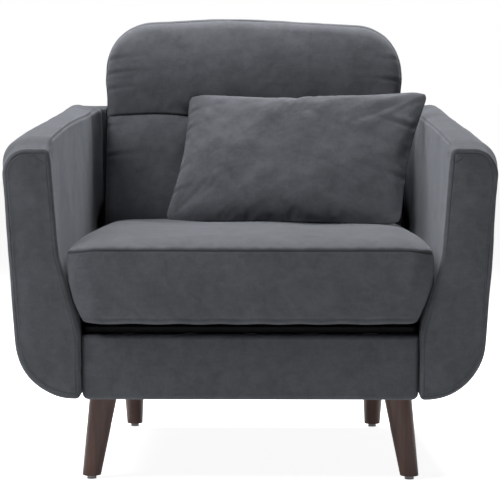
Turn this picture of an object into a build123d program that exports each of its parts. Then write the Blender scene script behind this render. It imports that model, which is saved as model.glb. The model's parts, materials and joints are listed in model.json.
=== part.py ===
"""Upholstered armchair on four tapered legs, with a loose seat cushion and a lumbar pillow.

Millimetres. +X is the viewer's right, +Y is rearwards, +Z is up. The origin is on the floor,
under the middle of the chair. Left and right are as seen from the front.
"""

import math
import os

from build123d import *

os.makedirs("parts", exist_ok=True)

# Overall
COVER = 2.0
FOAM_OVER_FRAME = 16.0
HIDDEN_LENGTH = 1200.0

# Arms: outline corners (x, z) of the front end and of the rear end, and the rounding at each
ARM_FRONT_Y = -400.0
ARM_REAR_Y = 240.0
ARM_WRAP_X = 322.0
ARM_FRONT_CORNERS = [(308, 155), (420, 155), (448.5, 607), (361, 607), (346, 418), (308, 272)]
ARM_FRONT_RADII = [0, 108, 45, 10, 150, 60]
ARM_REAR_CORNERS = [(324, 155), (396, 155), (411, 703), (344, 700), (340, 450), (324, 280)]
ARM_REAR_RADII = [0, 64, 36, 10, 150, 60]
FORMER_THICKNESS = 18.0
FORMER_FRONT_DEPTH = 12.0
BASE_RAIL_INNER_X = 311.0
BASE_RAIL_REAR_INNER_X = 327.0
BASE_RAIL_Z = 217.0
BASE_RAIL_HEIGHT = 90.0
TOP_RAIL_FRONT = (403.0, 562.0, 30.0, 45.0)
TOP_RAIL_REAR = (377.0, 652.0, 25.0, 45.0)
SIDE_BOARD_LOW_Z = 270.0
SIDE_BOARD_FRONT_HIGH_Z = 550.0
SIDE_BOARD_REAR_HIGH_Z = 630.0
SIDE_BOARD_NEAR = 12.8
SIDE_BOARD_FAR = 15.8

# Seat box
RAIL_BASE_Z = 162.0
RAIL_TOP_Z = 265.0
RAIL_THICKNESS = 25.0
FRONT_RAIL_Y = -378.0
FRONT_RAIL_HALF = 303.0
REAR_RAIL_Y = 272.0
REAR_RAIL_HALF = 319.0
CORNER_BLOCK_LEG = 104.0
CORNER_BLOCK_TOP_Z = 230.0
FRONT_FACE_Y = -390.0
FRONT_FACE_HALF = 305.5
FRONT_FACE_BASE_Z = 153.0
FRONT_FACE_TOP_Z = 271.0
FRONT_FACE_DEPTH = 24.0
FRONT_FACE_CORNER = 7.0

# Springs and deck
SPRING_X = [-220.0, -110.0, 0.0, 110.0, 220.0]
SPRING_WIRE = 1.9
SPRING_Z = 269.0
SPRING_SWING = 25.0
SPRING_BENDS = 22
SPRING_BEND_RADIUS = 11.0
CLIP_SIZE = (24.0, 11.0, 8.0)
CLIP_CLEARANCE = 0.5
TIE_WIRE = 1.0
TIE_WIRE_Y = [-150.0, 60.0]
DECK_PAD_Z = 274.0
DECK_PAD_THICKNESS = 9.0
DECK_COVER_THICKNESS = 1.5
DECK_HALF = 300.0
DECK_REAR_Y = 290.0
DECK_CORNER = 8.0
DUST_COVER_Z = 155.5
DUST_COVER_THICKNESS = 1.0

# Legs: centre (x, y) at the top and at the floor, for the right side
LEG_TOP_Z = 159.5
LEG_TOP_RADIUS = 26.0
LEG_FOOT_RADIUS = 17.0
FRONT_LEG_TOP = (271.0, -330.0)
FRONT_LEG_FOOT = (293.5, -340.0)
REAR_LEG_TOP = (262.0, 226.0)
REAR_LEG_FOOT = (261.0, 250.0)
LEG_HOLE_CLEARANCE = 2.0
GLIDE_HEIGHT = 7.0
GLIDE_RADIUS = 8.5
LEG_PLATE = 64.0
LEG_PLATE_CORNER = 6.0
LEG_PLATE_THICKNESS = 2.5
LEG_PLATE_SCREW_PITCH = 46.0
SCREW_RADIUS = 2.0
SCREW_HEAD_RADIUS = 3.8
SCREW_HEAD_HEIGHT = 1.8
SCREW_LENGTH = 22.0
HANGER_BOLT_RADIUS = 4.0
HANGER_BOLT_LOW_Z = 125.0
HANGER_BOLT_HIGH_Z = 186.0

# Bolts between the arms, the back and the seat box
BOLT_RADIUS = 4.0
BOLT_HEAD_RADIUS = 8.0
BOLT_HEAD_HEIGHT = 4.5
BOLT_HEAD_CLEARANCE = 0.5
BOLT_Z = 240.0
ARM_BOLT_Y = [-230.0, 120.0]
ARM_BOLT_LENGTH = 66.0
BACK_BOLT_X = 284.0
BACK_BOLT_Z = 246.0
BACK_BOLT_LENGTH = 50.0
TEE_NUT_FLANGE_RADIUS = 11.0
TEE_NUT_FLANGE = 2.0
TEE_NUT_BARREL_RADIUS = 6.0
TEE_NUT_BARREL = 11.0

# Back unit
BACK_HALF = 321.6
BACK_BASE_Z = 157.0
BACK_TOP_Z = 888.0
BACK_SHOULDER_Z = 878.0
BACK_CORNER_RADIUS = 92.0
BACK_FRONT_Y = 168.0
BACK_SEAT_Z = 290.0
BACK_BEND_Z = 440.0
BACK_BEND_RADIUS = 200.0
BACK_TOP_FRONT_Y = 275.0
BACK_FLANGE_Y = 297.0
BACK_REAR_Y = 325.0
BACK_REAR_TOP_Y = 425.45
BACK_TOP_RADIUS = 38.0
BACK_APEX_RADIUS = 1200.0
UPRIGHT_WIDTH = 40.0
UPRIGHT_DEPTH = 22.0
UPRIGHT_REAR_GAP = 5.0
UPRIGHT_LOW = 14.0
UPRIGHT_LENGTH = 640.0
UPRIGHT_SIDE_GAP = 6.0
BACK_TOP_RAIL_HEIGHT = 60.0
BACK_RAIL_HEIGHT = 50.0
BACK_MIDDLE_RAIL_UP = 380.0
BACK_BOTTOM_RAIL_UP = 160.0
WEBBING_HEIGHT = 50.0
WEBBING_THICKNESS = 1.6
WEBBING_STRAPS = 5
WEBBING_FIRST = 230.0
WEBBING_PITCH = 88.0
WEBBING_LAP = 32.0

# Seat cushion
CUSHION_FRONT_Y = -420.0
CUSHION_REAR_Y = 160.0
CUSHION_BASE_Z = 285.0
CUSHION_BASE_HALF = 302.0
CUSHION_SEAM_HALF = 337.0
CUSHION_SEAM_Z = 422.0
CUSHION_CROWN_Z = 462.0
CUSHION_APEX_Z = 474.0
CUSHION_APEX_RADIUS = 1200.0
CUSHION_BASE_CORNER = 30.0
CUSHION_SEAM_CORNER = 18.0
CUSHION_CREST_FRONT_Y = -260.0
CUSHION_CREST_REAR_Y = 0.0
CUSHION_FRONT_SEAM_Z = 426.0
CUSHION_REAR_SEAM_Z = 438.0
CUSHION_SIDE_RADII = [24, 8, 14, 300, 300, 16]
CUSHION_COVER = 1.5
CUSHION_WRAP = 14.0

# Zip along the rear of the seat cushion
ZIP_Z = 352.0
ZIP_HALF_LENGTH = 250.0
ZIP_TAPE_WIDTH = 26.0
ZIP_TAPE_THICKNESS = 0.8
ZIP_COIL_WIDTH = 5.0
ZIP_COIL_HEIGHT = 1.0
ZIP_SLIDER_X = -240.0
ZIP_SLIDER_GAP = 0.35
SLIDER_WIDTH = 12.0
SLIDER_HEIGHT = 10.0
SLIDER_THICKNESS = 1.8
SLIDER_CORNER = 2.5
SLIDER_POST_RADIUS = 1.3
SLIDER_POST_LENGTH = 2.2
PULL_TAB_LENGTH = 24.0
PULL_TAB_WIDTH = 7.0
PULL_TAB_THICKNESS = 1.0
PULL_TAB_HOLE_RADIUS = 1.75
PULL_TAB_CORNER = 3.3

# Lumbar pillow
PILLOW_CENTRE = (84.0, 62.0, 593.5)
PILLOW_YAW = 20.0
PILLOW_LEAN = 32.0
PILLOW_WIDTH = 512.0
PILLOW_HEIGHT = 311.0
PILLOW_THICKNESS = 124.0
PILLOW_COVER = 1.5


def write(piece, name):
    """Label a finished piece and write its file."""
    piece.label = name
    export_step(piece, f"parts/{name}.step")


def write_pair(piece, name):
    """Write a right-hand piece and its left-hand mirror image."""
    write(piece, f"right_{name}")
    write(mirror(piece, about=Plane.YZ), f"left_{name}")


def both_sides(piece):
    """The piece and its mirror image as separate solids."""
    return [piece, mirror(piece, about=Plane.YZ)]


def between(y, front, rear):
    """Value at depth y of a line running from the arm's front end to its rear end."""
    share = (y - ARM_FRONT_Y) / (ARM_REAR_Y - ARM_FRONT_Y)
    return front + (rear - front) * share


# ---------------------------------------------------------------- arms


def arm_outline(corners, radii, inset):
    """Closed arm outline, drawn in by inset."""
    with BuildSketch() as outline:
        with BuildLine():
            FilletPolyline(*corners, radius=radii, close=True)
        make_face()
        if inset:
            offset(amount=-inset, mode=Mode.REPLACE)
    return outline.sketch


def arm_body(inset):
    """Right arm: a straight run that rises to the rear, then a quarter turn round to the back."""
    with BuildPart() as body:
        with BuildSketch(Plane.XZ.offset(-ARM_FRONT_Y)):
            add(arm_outline(ARM_FRONT_CORNERS, ARM_FRONT_RADII, inset))
        with BuildSketch(Plane.XZ.offset(-ARM_REAR_Y)):
            add(arm_outline(ARM_REAR_CORNERS, ARM_REAR_RADII, inset))
        loft(ruled=True)
        with BuildSketch(Plane.XZ.offset(-ARM_REAR_Y)):
            add(arm_outline(ARM_REAR_CORNERS, ARM_REAR_RADII, inset))
        wrap_axis = Axis((ARM_WRAP_X, ARM_REAR_Y, 0), (0, 0, 1))
        revolve(axis=wrap_axis, revolution_arc=90)
    return body.part


def tapered_rail(front_box, rear_box, front_y, rear_y):
    """Straight board between two upright rectangles, each given as (x, z, width, height)."""
    with BuildPart() as rail:
        for y, (x, z, width, height) in ((front_y, front_box), (rear_y, rear_box)):
            with BuildSketch(Plane.XZ.offset(-y)):
                with Locations((x, z)):
                    Rectangle(width, height)
        loft(ruled=True)
    return rail.part


def side_board_outline(corners, high_z):
    """Thin strip along the inside of the arm's outer face, up to a height."""
    foot = Vector(*corners[1])
    direction = (Vector(*corners[2]) - foot).normalized()
    inward = Vector(-direction.Y, direction.X)
    low = foot + direction * ((SIDE_BOARD_LOW_Z - foot.Y) / direction.Y)
    high = foot + direction * ((high_z - foot.Y) / direction.Y)
    near = inward * SIDE_BOARD_NEAR
    far = inward * SIDE_BOARD_FAR
    points = [low + near, high + near, high + far, low + far]
    with BuildSketch() as outline:
        with BuildLine():
            Polyline(*[(point.X, point.Y) for point in points], close=True)
        make_face()
    return outline.sketch


FRONT_PANEL_PLANE = Plane.XZ.offset(-ARM_FRONT_Y - COVER)
FORMER_FRONT_Y = ARM_FRONT_Y + FORMER_FRONT_DEPTH
FORMER_REAR_Y = ARM_REAR_Y - FORMER_THICKNESS
RAILS_START_Y = FORMER_FRONT_Y + FORMER_THICKNESS
BASE_RAIL_X = BASE_RAIL_INNER_X + RAIL_THICKNESS / 2
BASE_RAIL_REAR_X = BASE_RAIL_REAR_INNER_X + RAIL_THICKNESS / 2

with BuildPart() as arm_front_former:
    with BuildSketch(Plane.XZ.offset(-FORMER_FRONT_Y)):
        add(arm_outline(ARM_FRONT_CORNERS, ARM_FRONT_RADII, FOAM_OVER_FRAME))
    extrude(amount=-FORMER_THICKNESS)

with BuildPart() as arm_rear_former:
    with BuildSketch(Plane.XZ.offset(-FORMER_REAR_Y)):
        add(arm_outline(ARM_REAR_CORNERS, ARM_REAR_RADII, FOAM_OVER_FRAME))
    extrude(amount=-FORMER_THICKNESS)

arm_top_rail = tapered_rail(TOP_RAIL_FRONT, TOP_RAIL_REAR, RAILS_START_Y, FORMER_REAR_Y)
arm_base_rail_blank = tapered_rail(
    (BASE_RAIL_X, BASE_RAIL_Z, RAIL_THICKNESS, BASE_RAIL_HEIGHT),
    (BASE_RAIL_REAR_X, BASE_RAIL_Z, RAIL_THICKNESS, BASE_RAIL_HEIGHT),
    RAILS_START_Y,
    FORMER_REAR_Y,
)

with BuildPart() as arm_side_board:
    with BuildSketch(Plane.XZ.offset(-RAILS_START_Y)):
        add(side_board_outline(ARM_FRONT_CORNERS, SIDE_BOARD_FRONT_HIGH_Z))
    with BuildSketch(Plane.XZ.offset(-FORMER_REAR_Y)):
        add(side_board_outline(ARM_REAR_CORNERS, SIDE_BOARD_REAR_HIGH_Z))
    loft(ruled=True)

# ---------------------------------------------------------------- bolts and tee nuts


def arm_bolt_head_x(y):
    """Underside of an arm bolt's head: just inside the seat box's side rail."""
    return between(y, FRONT_RAIL_HALF, REAR_RAIL_HALF) - RAIL_THICKNESS - BOLT_HEAD_CLEARANCE


with BuildPart() as arm_bolts:
    for bolt_y in ARM_BOLT_Y:
        head_plane = Plane.YZ.offset(arm_bolt_head_x(bolt_y))
        with BuildSketch(head_plane):
            with Locations((bolt_y, BOLT_Z)):
                Circle(BOLT_RADIUS)
        extrude(amount=ARM_BOLT_LENGTH)
        with BuildSketch(head_plane):
            with Locations((bolt_y, BOLT_Z)):
                Circle(BOLT_HEAD_RADIUS)
        extrude(amount=-BOLT_HEAD_HEIGHT)

with BuildPart() as arm_tee_nuts:
    for bolt_y in ARM_BOLT_Y:
        nut_x = between(bolt_y, BASE_RAIL_X, BASE_RAIL_REAR_X) + RAIL_THICKNESS / 2
        with BuildSketch(Plane.YZ.offset(nut_x)):
            with Locations((bolt_y, BOLT_Z)):
                Circle(TEE_NUT_FLANGE_RADIUS)
        extrude(amount=TEE_NUT_FLANGE)
        with BuildSketch(Plane.YZ.offset(nut_x)):
            with Locations((bolt_y, BOLT_Z)):
                Circle(TEE_NUT_BARREL_RADIUS)
        extrude(amount=-TEE_NUT_BARREL)
    add(arm_bolts.part, mode=Mode.SUBTRACT)

with BuildPart() as back_bolt:
    with BuildSketch(Plane.XZ.offset(-REAR_RAIL_Y)):
        with Locations((BACK_BOLT_X, BACK_BOLT_Z)):
            Circle(BOLT_RADIUS)
    extrude(amount=-BACK_BOLT_LENGTH)
    with BuildSketch(Plane.XZ.offset(-REAR_RAIL_Y)):
        with Locations((BACK_BOLT_X, BACK_BOLT_Z)):
            Circle(BOLT_HEAD_RADIUS)
    extrude(amount=BOLT_HEAD_HEIGHT)

with BuildPart() as frame_bolts:
    add(both_sides(arm_bolts.part))
    add(both_sides(back_bolt.part))

with BuildPart() as tee_nuts:
    add(both_sides(arm_tee_nuts.part))

with BuildPart() as arm_base_rail:
    add(arm_base_rail_blank)
    add([arm_bolts.part, arm_tee_nuts.part], mode=Mode.SUBTRACT)

# ---------------------------------------------------------------- arm covers and foam

with BuildPart() as arm_front_panel:
    add(arm_body(0))
    split(bisect_by=FRONT_PANEL_PLANE, keep=Keep.TOP)

with BuildPart() as arm_cover:
    add(arm_body(0))
    split(bisect_by=FRONT_PANEL_PLANE, keep=Keep.BOTTOM)
    add([arm_body(COVER), arm_bolts.part], mode=Mode.SUBTRACT)

with BuildPart() as arm_foam:
    add(arm_body(COVER))
    split(bisect_by=FRONT_PANEL_PLANE, keep=Keep.BOTTOM)
    add([arm_front_former.part, arm_rear_former.part], mode=Mode.SUBTRACT)
    add([arm_top_rail, arm_base_rail_blank, arm_side_board.part], mode=Mode.SUBTRACT)
    add([arm_bolts.part, arm_tee_nuts.part], mode=Mode.SUBTRACT)

write_pair(arm_front_former.part, "arm_front_former")
write_pair(arm_rear_former.part, "arm_rear_former")
write_pair(arm_top_rail, "arm_top_rail")
write_pair(arm_base_rail.part, "arm_base_rail")
write_pair(arm_side_board.part, "arm_side_board")
write_pair(arm_front_panel.part, "arm_front_panel")
write_pair(arm_cover.part, "arm_cover")
write_pair(arm_foam.part, "arm_foam")
write(frame_bolts.part, "frame_bolts")
write(tee_nuts.part, "tee_nuts")

# ---------------------------------------------------------------- legs and their fixings

LEG_PLACES = {
    "front_right": (1, FRONT_LEG_TOP, FRONT_LEG_FOOT),
    "front_left": (-1, FRONT_LEG_TOP, FRONT_LEG_FOOT),
    "rear_right": (1, REAR_LEG_TOP, REAR_LEG_FOOT),
    "rear_left": (-1, REAR_LEG_TOP, REAR_LEG_FOOT),
}
LEG_TOPS = [(side * top[0], top[1]) for side, top, foot in LEG_PLACES.values()]
LEG_FEET = [(side * foot[0], foot[1]) for side, top, foot in LEG_PLACES.values()]
SCREW_PLACES = [
    (x + dx * LEG_PLATE_SCREW_PITCH / 2, y + dy * LEG_PLATE_SCREW_PITCH / 2)
    for x, y in LEG_TOPS
    for dx in (-1, 1)
    for dy in (-1, 1)
]

with BuildPart() as hanger_bolts:
    with BuildSketch(Plane.XY.offset(HANGER_BOLT_LOW_Z)):
        with Locations(*LEG_TOPS):
            Circle(HANGER_BOLT_RADIUS)
    extrude(amount=HANGER_BOLT_HIGH_Z - HANGER_BOLT_LOW_Z)

for place, (side, top, foot) in LEG_PLACES.items():
    with BuildPart() as leg:
        with BuildSketch(Plane.XY.offset(GLIDE_HEIGHT)):
            with Locations((side * foot[0], foot[1])):
                Circle(LEG_FOOT_RADIUS)
        with BuildSketch(Plane.XY.offset(LEG_TOP_Z)):
            with Locations((side * top[0], top[1])):
                Circle(LEG_TOP_RADIUS)
        loft()
        add(hanger_bolts.part, mode=Mode.SUBTRACT)
    write(leg.part, f"{place}_leg")

with BuildPart() as leg_glides:
    with BuildSketch(Plane.XY):
        with Locations(*LEG_FEET):
            Circle(GLIDE_RADIUS)
    extrude(amount=GLIDE_HEIGHT)
write(leg_glides.part, "leg_glides")

with BuildPart() as leg_plates:
    with BuildSketch(Plane.XY.offset(LEG_TOP_Z)):
        with Locations(*LEG_TOPS):
            RectangleRounded(LEG_PLATE, LEG_PLATE, LEG_PLATE_CORNER)
        with Locations(*LEG_TOPS):
            Circle(HANGER_BOLT_RADIUS, mode=Mode.SUBTRACT)
        with Locations(*SCREW_PLACES):
            Circle(SCREW_RADIUS, mode=Mode.SUBTRACT)
    extrude(amount=LEG_PLATE_THICKNESS)
write(leg_plates.part, "leg_plates")

with BuildPart() as leg_plate_screws:
    with BuildSketch(Plane.XY.offset(LEG_TOP_Z)):
        with Locations(*SCREW_PLACES):
            Circle(SCREW_RADIUS)
    extrude(amount=SCREW_LENGTH)
    with BuildSketch(Plane.XY.offset(LEG_TOP_Z)):
        with Locations(*SCREW_PLACES):
            Circle(SCREW_HEAD_RADIUS)
    extrude(amount=-SCREW_HEAD_HEIGHT)
write(hanger_bolts.part, "hanger_bolts")
write(leg_plate_screws.part, "leg_plate_screws")

# ---------------------------------------------------------------- seat box

RAIL_HEIGHT = RAIL_TOP_Z - RAIL_BASE_Z
FRONT_RAIL_BACK_Y = FRONT_RAIL_Y + RAIL_THICKNESS
FIXINGS = [leg_plate_screws.part, frame_bolts.part]

with BuildPart() as front_rail:
    with BuildSketch(Plane.XY.offset(RAIL_BASE_Z)):
        with Locations((0, FRONT_RAIL_Y + RAIL_THICKNESS / 2)):
            Rectangle(2 * FRONT_RAIL_HALF, RAIL_THICKNESS)
    extrude(amount=RAIL_HEIGHT)
    add(FIXINGS, mode=Mode.SUBTRACT)
write(front_rail.part, "front_rail")

with BuildPart() as rear_rail:
    with BuildSketch(Plane.XY.offset(RAIL_BASE_Z)):
        with Locations((0, REAR_RAIL_Y + RAIL_THICKNESS / 2)):
            Rectangle(2 * REAR_RAIL_HALF, RAIL_THICKNESS)
    extrude(amount=RAIL_HEIGHT)
    add(FIXINGS, mode=Mode.SUBTRACT)
write(rear_rail.part, "rear_rail")


def side_rail_x(y):
    """Outer face of the seat box's side rail at depth y."""
    share = (y - FRONT_RAIL_BACK_Y) / (REAR_RAIL_Y - FRONT_RAIL_BACK_Y)
    return FRONT_RAIL_HALF + (REAR_RAIL_HALF - FRONT_RAIL_HALF) * share


with BuildPart() as side_rail:
    with BuildSketch(Plane.XY.offset(RAIL_BASE_Z)):
        with BuildLine():
            Polyline(
                (FRONT_RAIL_HALF - RAIL_THICKNESS, FRONT_RAIL_BACK_Y),
                (FRONT_RAIL_HALF, FRONT_RAIL_BACK_Y),
                (REAR_RAIL_HALF, REAR_RAIL_Y),
                (REAR_RAIL_HALF - RAIL_THICKNESS, REAR_RAIL_Y),
                close=True,
            )
        make_face()
    extrude(amount=RAIL_HEIGHT)
    add(FIXINGS, mode=Mode.SUBTRACT)
write_pair(side_rail.part, "side_rail")

with BuildPart() as right_corner_blocks:
    for corner_y, inward in ((FRONT_RAIL_BACK_Y, 1), (REAR_RAIL_Y, -1)):
        reach_y = corner_y + inward * CORNER_BLOCK_LEG
        corner_x = side_rail_x(corner_y) - RAIL_THICKNESS
        reach_x = side_rail_x(reach_y) - RAIL_THICKNESS
        with BuildSketch(Plane.XY.offset(RAIL_BASE_Z)):
            with BuildLine():
                Polyline(
                    (corner_x, corner_y),
                    (corner_x - CORNER_BLOCK_LEG, corner_y),
                    (reach_x, reach_y),
                    close=True,
                )
            make_face()
        extrude(amount=CORNER_BLOCK_TOP_Z - RAIL_BASE_Z)
    add(FIXINGS, mode=Mode.SUBTRACT)
    add(hanger_bolts.part, mode=Mode.SUBTRACT)

with BuildPart() as corner_blocks:
    add(both_sides(right_corner_blocks.part))
write(corner_blocks.part, "corner_blocks")

# ---------------------------------------------------------------- front rail upholstery


def front_face_section(inset):
    """Rounded rectangle round the front rail, seen from the side."""
    height = FRONT_FACE_TOP_Z - FRONT_FACE_BASE_Z - 2 * inset
    centre = (FRONT_FACE_Y + FRONT_FACE_DEPTH, (FRONT_FACE_TOP_Z + FRONT_FACE_BASE_Z) / 2)
    with Locations(centre):
        RectangleRounded(2 * (FRONT_FACE_DEPTH - inset), height, FRONT_FACE_CORNER - inset)
    with Locations((FRONT_FACE_Y + 1.5 * FRONT_FACE_DEPTH, centre[1])):
        Rectangle(FRONT_FACE_DEPTH, 2 * height, mode=Mode.SUBTRACT)


with BuildPart() as front_rail_cover:
    with BuildSketch(Plane.YZ):
        front_face_section(0)
    extrude(amount=FRONT_FACE_HALF, both=True)
    with BuildSketch(Plane.YZ):
        front_face_section(COVER)
    extrude(amount=FRONT_FACE_HALF, both=True, mode=Mode.SUBTRACT)
write(front_rail_cover.part, "front_rail_cover")

with BuildPart() as front_rail_padding:
    with BuildSketch(Plane.YZ):
        front_face_section(COVER)
    extrude(amount=FRONT_FACE_HALF - COVER, both=True)
    add(front_rail.part, mode=Mode.SUBTRACT)
write(front_rail_padding.part, "front_rail_padding")

# ---------------------------------------------------------------- springs, deck and dust cover

SPRING_FRONT_Y = FRONT_RAIL_BACK_Y - CLIP_SIZE[1] / 2 - CLIP_CLEARANCE
SPRING_REAR_Y = REAR_RAIL_Y + CLIP_SIZE[1] / 2 + CLIP_CLEARANCE


def spring_path(x):
    """Flat zigzag from the front rail's clip to the rear rail's clip."""
    step = (SPRING_REAR_Y - SPRING_FRONT_Y) / SPRING_BENDS
    points = [(x - SPRING_SWING / 2, SPRING_FRONT_Y)]
    for bend in range(SPRING_BENDS):
        side = SPRING_SWING if bend % 2 else -SPRING_SWING
        points.append((x - side, SPRING_FRONT_Y + bend * step))
        points.append((x - side, SPRING_FRONT_Y + (bend + 1) * step))
    points.append((x + SPRING_SWING / 2, SPRING_REAR_Y))
    return points


with BuildPart() as sinuous_springs:
    for spring_x in SPRING_X:
        points = spring_path(spring_x)
        with BuildLine(Plane.XY.offset(SPRING_Z)):
            FilletPolyline(*points, radius=SPRING_BEND_RADIUS)
        start = Plane(origin=(*points[0], SPRING_Z), z_dir=(1, 0, 0))
        with BuildSketch(start):
            Circle(SPRING_WIRE)
        sweep()
write(sinuous_springs.part, "sinuous_springs")

with BuildPart() as spring_clips:
    with BuildSketch(Plane.XY.offset(RAIL_TOP_Z)):
        with Locations(*[(x, y) for x in SPRING_X for y in (SPRING_FRONT_Y, SPRING_REAR_Y)]):
            Rectangle(CLIP_SIZE[0], CLIP_SIZE[1])
    extrude(amount=CLIP_SIZE[2])
    add(sinuous_springs.part, mode=Mode.SUBTRACT)
write(spring_clips.part, "spring_clips")

with BuildPart() as spring_tie_wires:
    tie_half = FRONT_RAIL_HALF - RAIL_THICKNESS
    with BuildSketch(Plane.YZ):
        with Locations(*[(y, SPRING_Z + SPRING_WIRE + TIE_WIRE) for y in TIE_WIRE_Y]):
            Circle(TIE_WIRE)
    extrude(amount=tie_half, both=True)
write(spring_tie_wires.part, "spring_tie_wires")

DECK_FRONT_Y = FRONT_FACE_Y + FRONT_FACE_DEPTH


def deck_sheet(low_z, thickness):
    """Flat sheet over the seat springs."""
    with BuildPart() as sheet:
        with BuildSketch(Plane.XY.offset(low_z)):
            with Locations((0, (DECK_FRONT_Y + DECK_REAR_Y) / 2)):
                RectangleRounded(2 * DECK_HALF, DECK_REAR_Y - DECK_FRONT_Y, DECK_CORNER)
        extrude(amount=thickness)
    return sheet.part


write(deck_sheet(DECK_PAD_Z, DECK_PAD_THICKNESS), "deck_pad")
write(deck_sheet(DECK_PAD_Z + DECK_PAD_THICKNESS, DECK_COVER_THICKNESS), "deck_cover")

with BuildPart() as dust_cover:
    with BuildSketch(Plane.XY.offset(DUST_COVER_Z)):
        with Locations((0, (DECK_FRONT_Y + DECK_REAR_Y) / 2)):
            Rectangle(2 * FRONT_RAIL_HALF, DECK_REAR_Y - DECK_FRONT_Y)
        with Locations(*LEG_TOPS):
            Circle(LEG_TOP_RADIUS + LEG_HOLE_CLEARANCE, mode=Mode.SUBTRACT)
    extrude(amount=DUST_COVER_THICKNESS)
write(dust_cover.part, "dust_cover")

# ---------------------------------------------------------------- back unit

BACK_TILT = math.degrees(math.atan((BACK_REAR_TOP_Y - BACK_REAR_Y) / (BACK_TOP_Z - BACK_BASE_Z)))
REAR_FACE = Plane(
    origin=(0, BACK_REAR_Y, BACK_BASE_Z),
    x_dir=(1, 0, 0),
    z_dir=(0, -math.cos(math.radians(BACK_TILT)), math.sin(math.radians(BACK_TILT))),
)


def back_body(inset):
    """Front outline with big soft top corners, crossed with the leaning side outline."""
    with BuildPart() as body:
        with BuildSketch(Plane.XZ):
            with BuildLine():
                FilletPolyline(
                    (-BACK_HALF, BACK_BASE_Z),
                    (BACK_HALF, BACK_BASE_Z),
                    (BACK_HALF, BACK_SHOULDER_Z),
                    (0, BACK_TOP_Z),
                    (-BACK_HALF, BACK_SHOULDER_Z),
                    radius=[0, 0, BACK_CORNER_RADIUS, BACK_APEX_RADIUS, BACK_CORNER_RADIUS],
                    close=True,
                )
            make_face()
            if inset:
                offset(amount=-inset, mode=Mode.REPLACE)
        extrude(amount=HIDDEN_LENGTH, both=True)
        with BuildSketch(Plane.YZ):
            with BuildLine():
                FilletPolyline(
                    (BACK_FRONT_Y, BACK_SEAT_Z),
                    (BACK_FRONT_Y, BACK_BEND_Z),
                    (BACK_TOP_FRONT_Y, BACK_TOP_Z),
                    (BACK_REAR_TOP_Y, BACK_TOP_Z),
                    (BACK_REAR_Y, BACK_BASE_Z),
                    (BACK_FLANGE_Y, BACK_BASE_Z),
                    (BACK_FLANGE_Y, BACK_SEAT_Z),
                    radius=[0, BACK_BEND_RADIUS, BACK_TOP_RADIUS, BACK_TOP_RADIUS, 0, 0, 0],
                    close=True,
                )
            make_face()
            if inset:
                offset(amount=-inset, mode=Mode.REPLACE)
        extrude(amount=HIDDEN_LENGTH, both=True, mode=Mode.INTERSECT)
    return body.part


def board_on_back(depth, thickness, centres, width, height):
    """Boards parallel to the rear face, depth in front of it, at (x, distance up the face)."""
    with BuildPart() as board:
        with BuildSketch(REAR_FACE.offset(depth)):
            with Locations(*centres):
                Rectangle(width, height)
        extrude(amount=thickness)
    return board.part


UPRIGHT_X = BACK_HALF - COVER - UPRIGHT_SIDE_GAP - UPRIGHT_WIDTH / 2
BACK_RAIL_LENGTH = 2 * UPRIGHT_X - UPRIGHT_WIDTH
upright_places = [(UPRIGHT_X, UPRIGHT_LOW + UPRIGHT_LENGTH / 2)]
back_upright_blank = board_on_back(
    UPRIGHT_REAR_GAP, UPRIGHT_DEPTH, upright_places, UPRIGHT_WIDTH, UPRIGHT_LENGTH
)
BACK_TOP_RAIL_UP = UPRIGHT_LOW + UPRIGHT_LENGTH - BACK_TOP_RAIL_HEIGHT / 2
BACK_RAILS = {
    "back_top_rail": (BACK_TOP_RAIL_UP, BACK_TOP_RAIL_HEIGHT),
    "back_middle_rail": (BACK_MIDDLE_RAIL_UP, BACK_RAIL_HEIGHT),
    "back_bottom_rail": (BACK_BOTTOM_RAIL_UP, BACK_RAIL_HEIGHT),
}
back_rails = {
    name: board_on_back(UPRIGHT_REAR_GAP, UPRIGHT_DEPTH, [(0, up)], BACK_RAIL_LENGTH, height)
    for name, (up, height) in BACK_RAILS.items()
}
webbing_places = [(0, WEBBING_FIRST + strap * WEBBING_PITCH) for strap in range(WEBBING_STRAPS)]
back_webbing = board_on_back(
    UPRIGHT_REAR_GAP + UPRIGHT_DEPTH,
    WEBBING_THICKNESS,
    webbing_places,
    BACK_RAIL_LENGTH + 2 * WEBBING_LAP,
    WEBBING_HEIGHT,
)

with BuildPart() as back_upright:
    add(back_upright_blank)
    add(frame_bolts.part, mode=Mode.SUBTRACT)
write_pair(back_upright.part, "back_upright")
for name, rail in back_rails.items():
    write(rail, name)
write(back_webbing, "back_webbing")

OUTSIDE_BACK_PLANE = REAR_FACE.offset(COVER)

with BuildPart() as outside_back:
    add(back_body(0))
    split(bisect_by=OUTSIDE_BACK_PLANE, keep=Keep.BOTTOM)
write(outside_back.part, "outside_back")

with BuildPart() as back_cover:
    add(back_body(0))
    split(bisect_by=OUTSIDE_BACK_PLANE, keep=Keep.TOP)
    add([back_body(COVER), frame_bolts.part], mode=Mode.SUBTRACT)
write(back_cover.part, "back_cover")

with BuildPart() as back_foam:
    add(back_body(COVER))
    split(bisect_by=OUTSIDE_BACK_PLANE, keep=Keep.TOP)
    add(both_sides(back_upright_blank), mode=Mode.SUBTRACT)
    add([*back_rails.values(), back_webbing, frame_bolts.part], mode=Mode.SUBTRACT)
write(back_foam.part, "back_foam")

# ---------------------------------------------------------------- seat cushion


CUSHION_BASE_CORNERS = [CUSHION_BASE_CORNER, CUSHION_BASE_CORNER]
CUSHION_FRONT_RADII = CUSHION_BASE_CORNERS + [CUSHION_SEAM_CORNER, CUSHION_APEX_RADIUS, CUSHION_SEAM_CORNER]


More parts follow.
